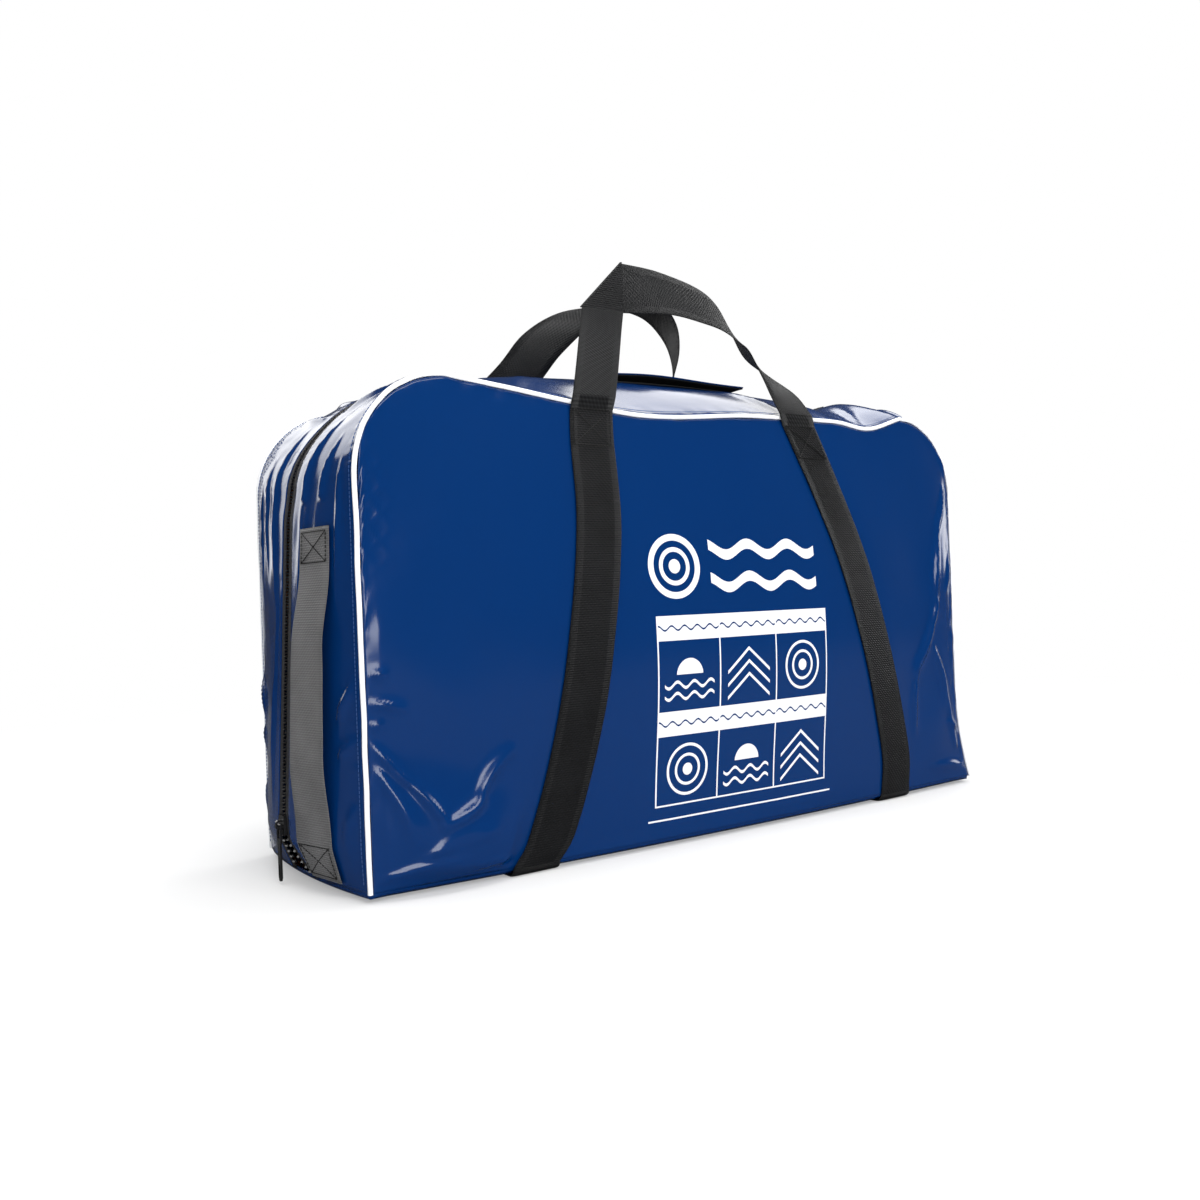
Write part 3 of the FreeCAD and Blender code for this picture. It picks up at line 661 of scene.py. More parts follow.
# %% Small creases
def crinkle(x, z):
    """Short zigzag creases beside the upper left piping."""
    near_seam = x + half_length
    if near_seam > 0.034 or z < 0.270 or z > 0.400:
        return 0.0
    fade = math.sin(math.pi * (z - 0.270) / 0.130) * max(0.0, 1 - near_seam / 0.034)
    zigzag = abs(((z / 0.026 + near_seam / 0.020) % 1.0) - 0.5) * 2
    other = abs(((z / 0.021 - near_seam / 0.024) % 1.0) - 0.5) * 2
    return 0.0022 * fade * (1 - min(zigzag, other)) ** 3


def seam_pucker(x, z, span, top):
    """Small gathers where the panel is sewn to the piping."""
    edge = min(x + half_length, right_side(z) - x, top - z)
    strength = max(0.0, 1 - edge / span) if edge > 0 else 1.0
    wobble = noise.noise(Vector((x * 62.0, 1.7, z * 62.0)))
    return 0.0016 * strength ** 1.5 * wobble


def edge_fade(x, z, low, top, reach=0.012):
    """Brings every fold to nothing at the sheet's own edges."""
    edge = min(x + half_length - bead_radius, right_side(z) - bead_radius - x, top - z, z - low)
    return min(max(edge / reach, 0.0), 1.0)


# %% [markdown]
# The front and rear panels could be cut from a plane with a mask, but a grid stretched between
# the seams has its edges exactly where the piping lies. Rows of faces then run with the sag.

# %% Panels
panel_inset = bead_radius + 0.0003


def panel_top(x):
    radius = corner_radius - panel_inset
    if x < top_left:
        return corner_height + math.sqrt(max(0.0, radius ** 2 - (top_left - x) ** 2))
    if x > top_right:
        return corner_height + math.sqrt(max(0.0, radius ** 2 - (x - top_right) ** 2))
    return top_seam(x) - panel_inset


def eased(share, sharpness=0.16):
    """Share with its steps drawn closer at both ends, where the corners turn."""
    return share - sharpness * math.sin(2 * math.pi * share) / math.pi


def panel_surface(side, strokes, swells, mirrored_seed):
    left = -half_length + panel_inset
    low = foot + 0.0002

    def surface(u, v):
        share = eased(u)
        upper_x = left + share * (right_side(seam_height) - panel_inset - left)
        top = panel_top(upper_x)
        z = low + (top - low) * v
        x = left + share * (right_side(z) - panel_inset - left)
        fold = sum(ridge(x, z, *stroke) for stroke in strokes) + sum(swell(x, z, *one) for one in swells)
        fold = min(fold, 0.014)
        drift = noise.noise(Vector((x * 4.2, mirrored_seed, z * 5.0))) * 0.0014
        ends = max(0.0, 1 - (x + half_length) / 0.22) + max(0.0, 1 - (right_side(z) - x) / 0.16)
        low_down = max(0.0, 1 - z / 0.10)
        restless = noise.noise(Vector((x * 17.0, mirrored_seed + 3.0, z * 13.0)))
        drift += restless * 0.0019 * min(1.0, ends + 0.6 * low_down)
        free = 1 - held_down(x, z)
        off = (fold + drift) * edge_fade(x, z, low, top) + crinkle(x, z) + seam_pucker(x, z, 0.018, top)
        off = off * free
        return Vector((x + shift_x, side * (half_depth + crown(x, z) + off), z))

    return surface


front = laid_grid("front_cloth", 250, 150, panel_surface(-1, front_strokes, front_swells, 0.0))
face_outwards(front, bag_middle)
thicken(front, cloth_thickness)
finished(front, printed_cloth, "front_panel", slot="blue_cloth")

rear_strokes = [(x0 + 0.004, z0 + 0.012, x1, z1 + 0.01, w * 1.1, h * 0.8, -b)
                for x0, z0, x1, z1, w, h, b in front_strokes[::2]]
rear_swells = [(x + 0.012, z + 0.010, rx, rz, h * 0.8) for x, z, rx, rz, h in front_swells]
rear = laid_grid("rear_cloth", 220, 130, panel_surface(1, rear_strokes, rear_swells, 8.0))
face_outwards(rear, bag_middle)
thicken(rear, cloth_thickness)
finished(rear, blue_cloth, "rear_panel", slot="blue_cloth")
print("panels", len(front.data.polygons), len(rear.data.polygons))

# %% [markdown]
# ## Gussets and zip split
# The side wall is two long sheets that run up the left end, over the top and down the right end,
# from a piped seam to the zip. Round the corners a flat sheet has too much cloth, so it gathers
# into creases that run across the wall. Below the slider the two rows of the zip part.

# %% Where the zip rows part
split_height = 0.064
split_slope = 0.2
tail_start = 0.044
tail_radius = 0.041
tail_run = 0.032
tail_low = 0.003


def split_offset(height, is_front):
    offset = split_slope * max(0.0, split_height - height)
    if is_front:
        into_arc = min(max(0.0, tail_start - height), tail_radius - tail_low) / tail_radius
        offset += tail_run * (1 - math.sqrt(1 - into_arc ** 2))
    return offset


# Strokes on a gusset, as (place round the loop, share across) at both ends, then width, height, bend
end_strokes = [
    (1.42, 0.66, 0.66, 0.84, 0.075, 0.0032, 0.020), (1.22, 0.36, 0.74, 0.56, 0.060, 0.0030, 0.020),
    (1.06, 0.18, 0.72, 0.26, 0.045, 0.0024, 0.010), (0.66, 0.88, 0.20, 0.80, 0.060, 0.0026, 0.010),
    (0.50, 0.06, 0.38, 0.30, 0.030, 0.0036, 0.000), (0.36, 0.05, 0.30, 0.30, 0.024, 0.0032, 0.000),
    (0.20, 0.05, 0.12, 0.22, 0.040, 0.0028, 0.000), (1.70, 0.10, 1.58, 0.85, 0.050, 0.0034, 0.020),
    (1.94, 0.10, 1.84, 0.75, 0.045, 0.0030, 0.020), (2.12, 0.08, 2.20, 0.70, 0.025, 0.0026, 0.000),
    (2.30, 0.10, 2.36, 0.60, 0.018, 0.0020, 0.000), (2.70, 0.06, 2.64, 0.70, 0.025, 0.0026, 0.000),
    (2.90, 0.10, 2.96, 0.80, 0.025, 0.0032, 0.000), (3.12, 0.05, 3.26, 0.90, 0.060, 0.0040, 0.020),
    (3.48, 0.10, 3.60, 0.90, 0.060, 0.0040, 0.020), (3.84, 0.08, 3.92, 0.80, 0.050, 0.0034, 0.000),
    (4.06, 0.72, 4.60, 0.84, 0.070, 0.0030, 0.020), (4.82, 0.06, 4.90, 0.24, 0.040, 0.0028, 0.000),
]


def under_handle(place, y):
    """Share from 0, free, to 1, right under an end handle."""
    if y > 0 or 0.95 < place < 4.05:
        return 0.0
    return min(max(1 - (abs(y + handle_centre) - 0.027) / 0.008, 0.0), 1.0)


def gusset_surface(side, seed):
    is_front = side < 0
    near = half_depth - bead_radius - 0.0003

    def surface(u, v):
        place = 5.0 * u
        edge = tape_edge
        if place < 1:
            edge += split_offset(seam_frame(place)[1], is_front)
        y = near + (edge - near) * v
        fold = sum(ridge(place, v, *stroke) for stroke in end_strokes)
        fold = min(fold, 0.009)
        tight = noise.noise(Vector((place * 3.4, seed, v * 1.8))) * 0.0016
        small = noise.noise(Vector((place * 13.0, seed + 5.0, v * 4.0))) * 0.0004
        fade = min(1.0, v / 0.12) * min(1.0, (1 - v) / 0.18)
        fade = fade * min(1.0, place / 0.10) * min(1.0, (5 - place) / 0.10)
        pucker = noise.noise(Vector((place * 46.0, seed, v * 3.0))) * 0.0016 * max(0.0, 1 - v / 0.16)
        zip_pucker = noise.noise(Vector((place * 30.0, seed + 2.0, v * 3.0))) * 0.0005
        zip_pucker = zip_pucker * max(0.0, (v - 0.8) / 0.2)
        off = (fold + tight + small) * fade + pucker * min(1.0, v / 0.03)
        off += zip_pucker * min(1.0, (1 - v) / 0.04)
        held = under_handle(place, side * y)
        off = off * (1 - held) + min(off, 0.0005) * held
        return loop_point(place, side * y, off)

    return surface


for side, seed, name, node in ((-1, 20.0, "front_gusset_cloth", "front_gusset"),
                               (1, 31.0, "rear_gusset_cloth", "rear_gusset")):
    sheet = laid_grid(name, 460, 44, gusset_surface(side, seed))
    face_outwards(sheet, bag_middle)
    thicken(sheet, cloth_thickness)
    finished(sheet, blue_cloth, node, slot="blue_cloth")


print("gussets laid")

# %% [markdown]
# ## Base
# The base is one tray of the same cloth, rolled up a few millimetres to meet the panels. It is
# laid as one grid: the middle of the grid is flat and its rim turns up.

# %% Base tray
base_low = 0.002
rim_radius = 0.005
rim_start = 0.97
end_bulge = 0.010


def base_surface(u, v):
    left, right = -half_length, right_side(foot)
    s, t = 2 * u - 1, 2 * v - 1
    rim = max(abs(s), abs(t))
    roll = min(max((rim - rim_start) / (1 - rim_start), 0.0), 1.0)
    shrink = rim_radius * (1 - math.sin(roll * math.pi / 2))
    bow = crown(0.0, 0.0)
    s_edge, t_edge = (s / rim, t / rim) if rim > 0 else (0.0, 0.0)
    centre_x = (left + right) / 2
    half_x = (right - left) / 2 + end_bulge * (1 - t_edge ** 2) - shrink
    half_y = half_depth + bow * (1 - s_edge ** 2) - shrink
    reach = rim if rim <= rim_start else 1.0
    x = centre_x + s_edge * half_x * reach
    y = t_edge * half_y * reach
    z = base_low + rim_radius * (1 - math.cos(roll * math.pi / 2)) + (0.001 if roll >= 1 else 0.0)
    return Vector((x + shift_x, y, z))


base = laid_grid("base_cloth", 120, 60, base_surface)
face_outwards(base, bag_middle)
thicken(base, cloth_thickness)
finished(base, blue_cloth, "base_panel", slot="blue_cloth")
print("base", len(base.data.polygons))


# %% [markdown]
# ## Piping
# The bead is a cord in a folded strip, sewn into the seam. A circle is spun along the seam loop by
# a curve with a round bevel, which keeps its section true in the corners. Its flat flange is
# inside the seam and doesn't show.

# %% Piping beads
def bead(name, side, node):
    curve = bpy.data.curves.new(name, "CURVE")
    curve.dimensions = "3D"
    curve.bevel_depth = bead_radius
    curve.bevel_resolution = 4
    spline = curve.splines.new("POLY")
    steps = 300
    spline.points.add(steps)
    for k in range(steps + 1):
        place = 5.0 * k / steps
        x, z, out_x, out_z = seam_frame(place)
        wobble = noise.noise(Vector((place * 9.0, side * 3.0, 0.5))) * 0.0007
        fade = min(1.0, place / 0.1, (5 - place) / 0.1)
        wander = wobble * fade
        spline.points[k].co = (x + shift_x + out_x * wander, side * half_depth, z + out_z * wander, 1.0)
    curve.use_fill_caps = True
    rope = bpy.data.objects.new(name, curve)
    bpy.context.collection.objects.link(rope)
    mesh = bpy.data.meshes.new_from_object(rope)
    bpy.data.objects.remove(rope)
    mesh.name = name
    piece = bpy.data.objects.new(name, mesh)
    bpy.context.collection.objects.link(piece)
    for poly in mesh.polygons:
        poly.use_smooth = True
    return finished(piece, white_piping, node, slot="white_piping")


bead("front_piping_bead", -1, "front_piping")
bead("rear_piping_bead", 1, "rear_piping")
print("beads made")


# %% [markdown]
# ## Straps
# A strap is a ribbon that is told where its centre runs and which way its width points. Its
# section is closed and has rounded selvedges. The grips twist
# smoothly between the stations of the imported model, and the front one is folded over at its left
# corner, as webbing is when it has to turn flat. A bent plane would do for a flat run, but only a
# section swept along slices keeps its width through a twist.

# %% Ribbon from a list of slices
webbing_width = 0.050
webbing_thickness = 0.0017
across_steps = 12


def ribbon(name, slices, material, *replaced, wave=0.0, seed=0.0):
    """Closed ribbon through slices of (centre, across, outward), with UVs in metres."""
    lengths = [0.0]
    for one, two in zip(slices, slices[1:]):
        lengths.append(lengths[-1] + (two[0] - one[0]).length)
    total = lengths[-1]
    count = len(slices) - 1

    def at(share):
        k = min(int(share * count), count - 1)
        t = share * count - k
        one, two = slices[k], slices[k + 1]
        centre = one[0].lerp(two[0], t)
        return centre, one[1].lerp(two[1], t).normalized(), one[2].lerp(two[2], t).normalized(), \
            lengths[k] + (lengths[k + 1] - lengths[k]) * t

    rows = max(count * 2, int(total / 0.004))

    def section(u):
        """Round the section once: out along one face, back along the other."""
        angle = 2 * math.pi * u
        c, s = math.cos(angle), math.sin(angle)
        wide = math.copysign(abs(c) ** 0.28, c)
        thick = math.copysign(abs(s) ** 0.55, s)
        return wide, thick

    def surface(u, v):
        centre, across, outward, along = at(v)
        wide, thick = section(u)
        side = across * (wide * webbing_width / 2)
        ripple = noise.noise(Vector((along * 30.0, seed, wide * 0.8))) * wave
        return centre + side + outward * (thick * webbing_thickness / 2 + ripple)

    piece = laid_grid(name, across_steps * 2, rows, surface,
                      uv=lambda u, v: ((math.cos(2 * math.pi * u) * 0.5 + 0.5) * webbing_width, v * total))
    bm = bmesh.new()
    bm.from_mesh(piece.data)
    bmesh.ops.remove_doubles(bm, verts=bm.verts, dist=0.00002)
    rims = [edge for edge in bm.edges if edge.is_boundary]
    bmesh.ops.holes_fill(bm, edges=rims, sides=0)
    bmesh.ops.recalc_face_normals(bm, faces=bm.faces)
    bm.to_mesh(piece.data)
    bm.free()
    return finished(piece, material, *replaced, slot="black_webbing")


# %% [markdown]
# Each run starts at the middle of the base, turns round the foot and climbs the panel. It is a
# list of slices, because slices can be joined to those of the grip end to end.

# %% Runs of webbing on the panels
run_top = 0.425
strap_gap = 0.0009


def run_slices(track, side):
    """Slices from the middle of the base, round the foot and up a panel."""
    centre_off = webbing_thickness / 2
    x = track[0][1]
    radius = rim_radius + 0.001
    turn_y = half_depth + crown(x, foot) + 0.0005 - radius
    across = Vector((1, 0, 0))
    found = []
    for k in range(9):
        y = turn_y * k / 9
        found.append((Vector((x + shift_x, side * y, centre_off)), across, Vector((0, 0, -1))))
    for k in range(7):
        turn = math.pi / 2 * k / 6
        reach = radius + centre_off
        out = Vector((0, side * math.sin(turn), -math.cos(turn)))
        hub = Vector((x + shift_x, side * turn_y, webbing_thickness + radius))
        found.append((hub + out * reach, across, out))
    first = webbing_thickness + radius
    count = 60
    for k in range(1, count + 1):
        z = first + (run_top - first) * k / count
        x = smooth_through(track, z)
        edges = [half_depth + crown(x + step, z) for step in (-webbing_width / 2, 0.0, webbing_width / 2)]
        lift = max(edges[1], (edges[0] + edges[2]) / 2) + strap_gap + centre_off
        if z > run_top - 0.012:
            lift = max(lift, half_depth + bead_radius + 0.0003 + centre_off)
        tilt = (edges[2] - edges[0]) / webbing_width
        across = Vector((1, side * tilt, 0)).normalized()
        out = Vector((0, side, 0))
        found.append((Vector((x + shift_x, side * lift, z)), across, out))
    return found


# %% [markdown]
# The grips stand free, so their line and twist are given at a few stations and smoothed between
# them. Stations are easier to set than handles of a curve with tilt.

# %% Grips
front_leg = [
    ((-0.157, -0.127, 0.438), (1.0, 0.0, 0.0)), ((-0.147, -0.120, 0.468), (1.0, 0.0, 0.0)),
    ((-0.135, -0.110, 0.502), (1.0, 0.0, 0.0)), ((-0.125, -0.102, 0.530), (1.0, 0.0, 0.0)),
]
front_grip = [
    ((-0.100, -0.0997, 0.555), (0.0, 0.0, -1.0)), ((-0.046, -0.100, 0.557), (0.0, -0.30, -0.95)),
    ((0.004, -0.099, 0.551), (-0.08, -0.42, -0.90)), ((0.032, -0.099, 0.541), (-0.28, -0.58, -0.76)),
    ((0.050, -0.101, 0.522), (-0.50, -0.76, -0.42)), ((0.065, -0.104, 0.503), (-0.62, -0.78, -0.05)),
    ((0.086, -0.109, 0.482), (-0.82, -0.56, -0.10)), ((0.104, -0.118, 0.459), (-0.96, -0.22, -0.15)),
    ((0.113, -0.1265, 0.438), (-1.0, 0.0, 0.0)),
]
rear_grip = [
    ((-0.157, 0.127, 0.438), (1.0, 0.0, 0.0)), ((-0.133, 0.122, 0.470), (0.95, -0.05, -0.30)),
    ((-0.100, 0.102, 0.507), (0.86, -0.20, -0.46)), ((-0.077, 0.084, 0.541), (0.80, -0.42, -0.42)),
    ((-0.040, 0.066, 0.572), (0.50, -0.80, -0.30)), ((0.008, 0.055, 0.590), (0.12, -0.99, -0.05)),
    ((0.058, 0.053, 0.588), (-0.12, -0.99, 0.05)), ((0.090, 0.057, 0.566), (-0.30, -0.95, 0.08)),
    ((0.105, 0.066, 0.535), (-0.50, -0.86, 0.0)), ((0.111, 0.086, 0.500), (-0.72, -0.69, 0.0)),
    ((0.113, 0.113, 0.464), (-0.94, -0.34, 0.0)), ((0.113, 0.127, 0.438), (-1.0, 0.0, 0.0)),
]
grip_steps = 8


def grip_slices(stations):
    count = len(stations) - 1
    tracks = [[(k, station[group][axis]) for k, station in enumerate(stations)]
              for group in (0, 1) for axis in range(3)]

    def at(k):
        values = [smooth_through(track, k) for track in tracks]
        return Vector(values[:3]), Vector(values[3:]).normalized()

    found = []
    for step in range(count * grip_steps + 1):
        k = step / grip_steps
        centre, across = at(k)
        along = at(min(k + 0.05, count))[0] - at(max(k - 0.05, 0))[0]
        found.append((centre + Vector((shift_x, 0, 0)), across, across.cross(along).normalized()))
    return found


def turned_over(slices):
    """The same slices, looking the other way."""
    return [(centre, across, -outward) for centre, across, outward in slices]


# %% [markdown]
# At the back one band goes up the left run, over as a grip, and down the right run. It is one
# length on the real bag, so it is one ribbon here.

# %% Rear webbing
rear_slices = run_slices(left_run, 1)
rear_slices += turned_over(grip_slices(rear_grip))
rear_slices += [(c, -a, o) for c, a, o in run_slices(right_run, 1)[::-1]]
ribbon("rear_strap", rear_slices, black_webbing, "rear_webbing", wave=0.0004, seed=4.0)


# %% [markdown]
# At the front the band is folded flat on itself to turn. Two ribbons end at the fold, and a
# folded corner of two triangular layers with a round crease joins them.

# %% Front webbing, as two ribbons that meet in the folded corner
leg_slices = run_slices(left_run, -1) + grip_slices(front_leg)
band_slices = grip_slices(front_grip) + [(c, -a, o) for c, a, o in run_slices(right_run, -1)[::-1]]
ribbon("front_strap_leg", leg_slices, black_webbing, wave=0.0004, seed=7.0)
ribbon("front_strap_grip", band_slices, black_webbing, "front_webbing", wave=0.0004, seed=9.0)

fold_left, fold_right = -0.150 + shift_x, -0.100 + shift_x
fold_low, fold_top = 0.530, 0.580
leg_plane, band_plane = -0.102, -0.0997


def folded_corner():
    """Two triangular layers, one in the plane of the leg and one in that of the grip."""
    mesh = bpy.data.meshes.new("front_strap_fold")
    bm = bmesh.new()
    layer = bm.loops.layers.uv.new("UVMap")
    half = webbing_thickness / 2
    outline = [(fold_left, fold_low), (fold_right, fold_low), (fold_right, fold_top)]
    for plane, turn in ((leg_plane, False), (band_plane, True)):
        corners = [bm.verts.new((x, plane - half, z)) for x, z in outline]
        face = bm.faces.new(corners)
        grown = bmesh.ops.extrude_face_region(bm, geom=[face])
        moved = [item for item in grown["geom"] if isinstance(item, bmesh.types.BMVert)]
        bmesh.ops.translate(bm, verts=moved, vec=(0, 2 * half, 0))
        for item in bm.faces:
            for loop in item.loops:
                if loop[layer].uv.length == 0:
                    x, z = loop.vert.co.x - fold_left, loop.vert.co.z - fold_low
                    loop[layer].uv = (z, x) if turn else (x, z)
    bmesh.ops.recalc_face_normals(bm, faces=bm.faces)
    bm.to_mesh(mesh)
    bm.free()
    piece = bpy.data.objects.new("front_strap_fold", mesh)
    bpy.context.collection.objects.link(piece)
    return finished(piece, black_webbing, slot="black_webbing")


folded_corner()


def crease():
    """Round edge along the fold, from its low left corner to its top right."""
    start = Vector((fold_left, 0, fold_low))
    end = Vector((fold_right, 0, fold_top))
    middle_y = (leg_plane + band_plane) / 2
    radius = (band_plane - leg_plane + webbing_thickness) / 2
    outward = Vector((-1, 0, 1)).normalized()

    def surface(u, v):
        angle = 2 * math.pi * u
        centre = start.lerp(end, v)
        sideways = Vector((0, middle_y + radius * math.sin(angle), 0))
        return centre + outward * (radius * 0.45 * math.cos(angle)) + sideways

    piece = laid_grid("front_strap_crease", 16, 12, surface, uv=lambda u, v: (u * 0.01, v * 0.07))
    return finished(piece, black_webbing, slot="black_webbing")


crease()


# %% [markdown]
# ## End handles
# Each end has a shorter length of the same webbing, a little greyer than the straps, tacked at its
# head and foot. It could be a bent plane, but the same ribbon as the straps gives it true edges.
# Between the tacks it stands a few millimetres off the wall.

# %% End handles
handle_foot, handle_head = 0.012, 0.316
tack_length = 0.032
handle_clearance = 0.0012
handle_stand_off = 0.007


def end_handle(name, low_place, high_place, node):
    length = handle_head - handle_foot
    count = 48
    found = []
    for k in range(count + 1):
        share = k / count
        place = low_place + (high_place - low_place) * share
        from_end = min(share, 1 - share) * length
        arch = min(max((from_end - tack_length) / (length / 4), 0.0), 1.0)
        edges = [loop_point(place, -handle_centre + step) for step in (-webbing_width / 2, webbing_width / 2)]
        middle = loop_point(place, -handle_centre)
        chord = (edges[0] + edges[1]) / 2
        rise = (0.5 - 0.5 * math.cos(math.pi * arch))
        lift = handle_clearance + handle_stand_off * rise + (middle - chord).length + webbing_thickness / 2
        _, _, out_x, out_z = seam_frame(place)
        out = Vector((out_x, 0, out_z))
        found.append((chord + out * lift, (edges[1] - edges[0]).normalized(), out))
    ribbon(name, found, grey_webbing, node, wave=0.0003, seed=12.0)
    return found


foot_place, head_place = place_at_height(handle_foot), place_at_height(handle_head)
left_handle_slices = end_handle("left_handle_strap", foot_place, head_place, "left_end_handle")
right_handle_slices = end_handle("right_handle_strap", 5 - foot_place, 5 - head_place,
                                 "right_end_handle")
print("end handles", len(left_handle_slices))


# %% [markdown]
# ## Painter flap
# A flap on the top covers the slot where the raft's painter line comes out. It is the same cloth
# with a hook strip under its free edge, so from the front the dark underside shows.

# %% Flap and its strips
flap_left, flap_right = -0.070, 0.112
flap_front, flap_rear = -0.046, 0.034
flap_lift = 0.009
tooth_clear = 0.0016
hook_thickness = 0.0009
hook_width = 0.029
hook_inset = 0.001


def flap_offset(y):
    reach = (flap_rear - y) / (flap_rear - flap_front)
    rise = (flap_lift - tooth_clear) * max(0.0, reach - 1 / 3) ** 2 * 2.25
    return 0.0003 + tooth_clear * min(1.0, 3 * reach) + rise


def flap_place(x):
    return 2 + (x - top_left) / (top_right - top_left)


def flap_surface(front_y, rear_y, extra):
    def surface(u, v):
        x = flap_left + (flap_right - flap_left) * u
        y = front_y + (rear_y - front_y) * v
        point = loop_point(flap_place(x), y)
        sag = 0.0012 * math.sin(math.pi * u * 2.0) * (1 - v)
        point.z += flap_offset(y) + extra + sag
        return point
    return surface


flap = laid_grid("painter_flap_cloth", 60, 24, flap_surface(flap_front, flap_rear, 0.0012))
thicken(flap, cloth_thickness)
finished(flap, blue_cloth, "painter_flap", slot="blue_cloth")
hook_front = flap_front + hook_inset
hook = laid_grid("flap_hook", 60, 8, flap_surface(hook_front, hook_front + hook_width, -0.0003))
thicken(hook, hook_thickness)
finished(hook, hook_black, "flap_hook_strip", slot="zip_tape")
print("flap", len(flap.data.polygons))

# %% [markdown]
# The flap closes on a strip of loop tape sewn to the wall. Only its edge can be seen, so a thin
# grid with a matt finish is enough.

# %% Loop strip under the flap
loop_low, loop_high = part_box("flap_loop_strip")
loop_thickness = 0.0011
loop_top = 0.0013


def loop_strip_surface(u, v):
    x = loop_low[0] - shift_x + (loop_high[0] - loop_low[0]) * u
    y = loop_low[1] + (loop_high[1] - loop_low[1]) * v
    point = loop_point(flap_place(x), y)
    point.z += loop_top
    return point


loop_strip = laid_grid("flap_loop", 60, 8, loop_strip_surface)
thicken(loop_strip, loop_thickness)
finished(loop_strip, hook_black, "flap_loop_strip", slot="zip_tape")

# %% [markdown]
# A zip tape is woven, sewn to the wall on one side and holding the teeth on the other. Below the
# slider the two tapes part, so their place follows the same split as the wall.

# %% Zip tapes
tooth_root = 0.0040
half_tooth = 0.00125
row_gap = 0.0003
tape_thickness = 0.0008


def tape_surface(side):
    def surface(u, v):
        place = 5.0 * u
        x, z, out_x, out_z = seam_frame(place)
        offset, lean = 0.0, 0.0
        if place < 1:
            offset = split_offset(z, side < 0)
            lean = (split_offset(z - 0.001, side < 0) - offset) / 0.001
        inner = tooth_root + row_gap + half_tooth * lean / math.hypot(1, lean)
        y = (tape_edge - row_gap / 3) * (1 - v) + inner * v + offset
        reach = bulge(place) - row_gap
        return Vector((x + reach * out_x + shift_x, side * y, z + reach * out_z))
    return surface


for side, name, node in ((-1, "front_tape_cloth", "zip_front_tape"), (1, "rear_tape_cloth", "zip_rear_tape")):
    tape = laid_grid(name, 500, 4, tape_surface(side))
    face_outwards(tape, bag_middle)
    thicken(tape, tape_thickness)
    finished(tape, zip_tape, node, slot="zip_tape")

# %% [markdown]
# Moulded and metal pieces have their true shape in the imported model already. They stay, and only
# get a better material.

# %% Finish the pieces that stay
kept = {
    "zip_front_teeth": tooth_black,
    "zip_rear_teeth": tooth_black, "zip_bottom_stop": tooth_black, "zip_slider": enamel_black,
    "zip_pull": enamel_black, "packed_raft": raft_orange,
}
for name, material in kept.items():
    mesh = nodes[name].data
    mesh.materials.clear()
    mesh.materials.append(material)


# %% [markdown]
# ## Stitching
# Each tack is black thread in a box with a cross, and a row of blue stitches runs beside each
# bead. They could be bump, but a tack shows from a step away, so a stitch is a short five-sided
# rod. All the stitches of a seam are one piece.

# %% Stitches along a path
stitch_length = 0.0026
stitch_pitch = 0.0036
tack_thread = 0.00045
seam_thread = 0.0004


def stitches(name, paths, radius, material, slot):
    """Short rods along each path of points."""
    bm = bmesh.new()
    for path in paths:
        lengths = [0.0]
        for one, two in zip(path, path[1:]):
            lengths.append(lengths[-1] + (two - one).length)
        distance = stitch_pitch / 2
        index = 0
        while distance < lengths[-1]:
            while lengths[index + 1] < distance:
                index += 1
            one, two = path[index], path[index + 1]
            t = (distance - lengths[index]) / max(lengths[index + 1] - lengths[index], 1e-9)
            made = bmesh.ops.create_cone(bm, cap_ends=True, segments=5, radius1=radius, radius2=radius,
                                         depth=stitch_length)
            turn = (two - one).to_track_quat("Z", "Y").to_matrix().to_4x4()
            bmesh.ops.transform(bm, matrix=turn, verts=made["verts"])
            bmesh.ops.translate(bm, verts=made["verts"], vec=one.lerp(two, t))
            distance += stitch_pitch
    mesh = bpy.data.meshes.new(name)
    bm.to_mesh(mesh)
    bm.free()
    piece = bpy.data.objects.new(name, mesh)
    bpy.context.collection.objects.link(piece)
    return finished(piece, material, slot=slot)


def box_cross(place_slice, low, high):
    """Box with a cross, on a strap given as slice(share), between two shares."""
    inset = webbing_width / 2 - 0.004

    def spot(share, across):
        centre, side, out = place_slice(share)
        return centre + side * across * inset + out * (webbing_thickness / 2 + 0.0002)

    steps = 12
    shares = [low + (high - low) * k / steps for k in range(steps + 1)]
    sweep = [-1 + 2 * k / steps for k in range(steps + 1)]
    return [
        [spot(share, -1) for share in shares], [spot(share, 1) for share in shares],
        [spot(low, a) for a in sweep], [spot(high, a) for a in sweep],
        [spot(share, a) for share, a in zip(shares, sweep)],
        [spot(share, -a) for share, a in zip(shares, sweep)],
    ]


def slice_between(slices):
    def at(share):
        k = min(int(share * (len(slices) - 1)), len(slices) - 2)
        t = share * (len(slices) - 1) - k
        one, two = slices[k], slices[k + 1]
        return one[0].lerp(two[0], t), one[1].lerp(two[1], t), one[2].lerp(two[2], t)
    return at


def height_share(slices, z):
    """Share of the list at which the strap passes a height on its way up."""
    for k in range(16, len(slices)):
        if slices[k][0].z >= z:
            return k / (len(slices) - 1)
    return 1.0


tack_paths = []
for track, side, low_z, high_z in ((left_run, -1, 0.384, 0.419), (right_run, -1, 0.384, 0.419),
                                   (left_run, 1, 0.384, 0.419), (right_run, 1, 0.384, 0.419)):
    slices = run_slices(track, side)
    tack_paths += box_cross(slice_between(slices), height_share(slices, low_z), height_share(slices, high_z))
for slices in (left_handle_slices, right_handle_slices):
    at = slice_between(slices)
    tack_paths += box_cross(at, 0.012, 0.100) + box_cross(at, 0.900, 0.988)
stitches("strap_tacks", tack_paths, tack_thread, thread_black, "black_webbing")


# %% [markdown]
# A row of stitches shows beside each bead, in thread of the cloth's colour. It follows the seam
# loop, a little way in on the wall.

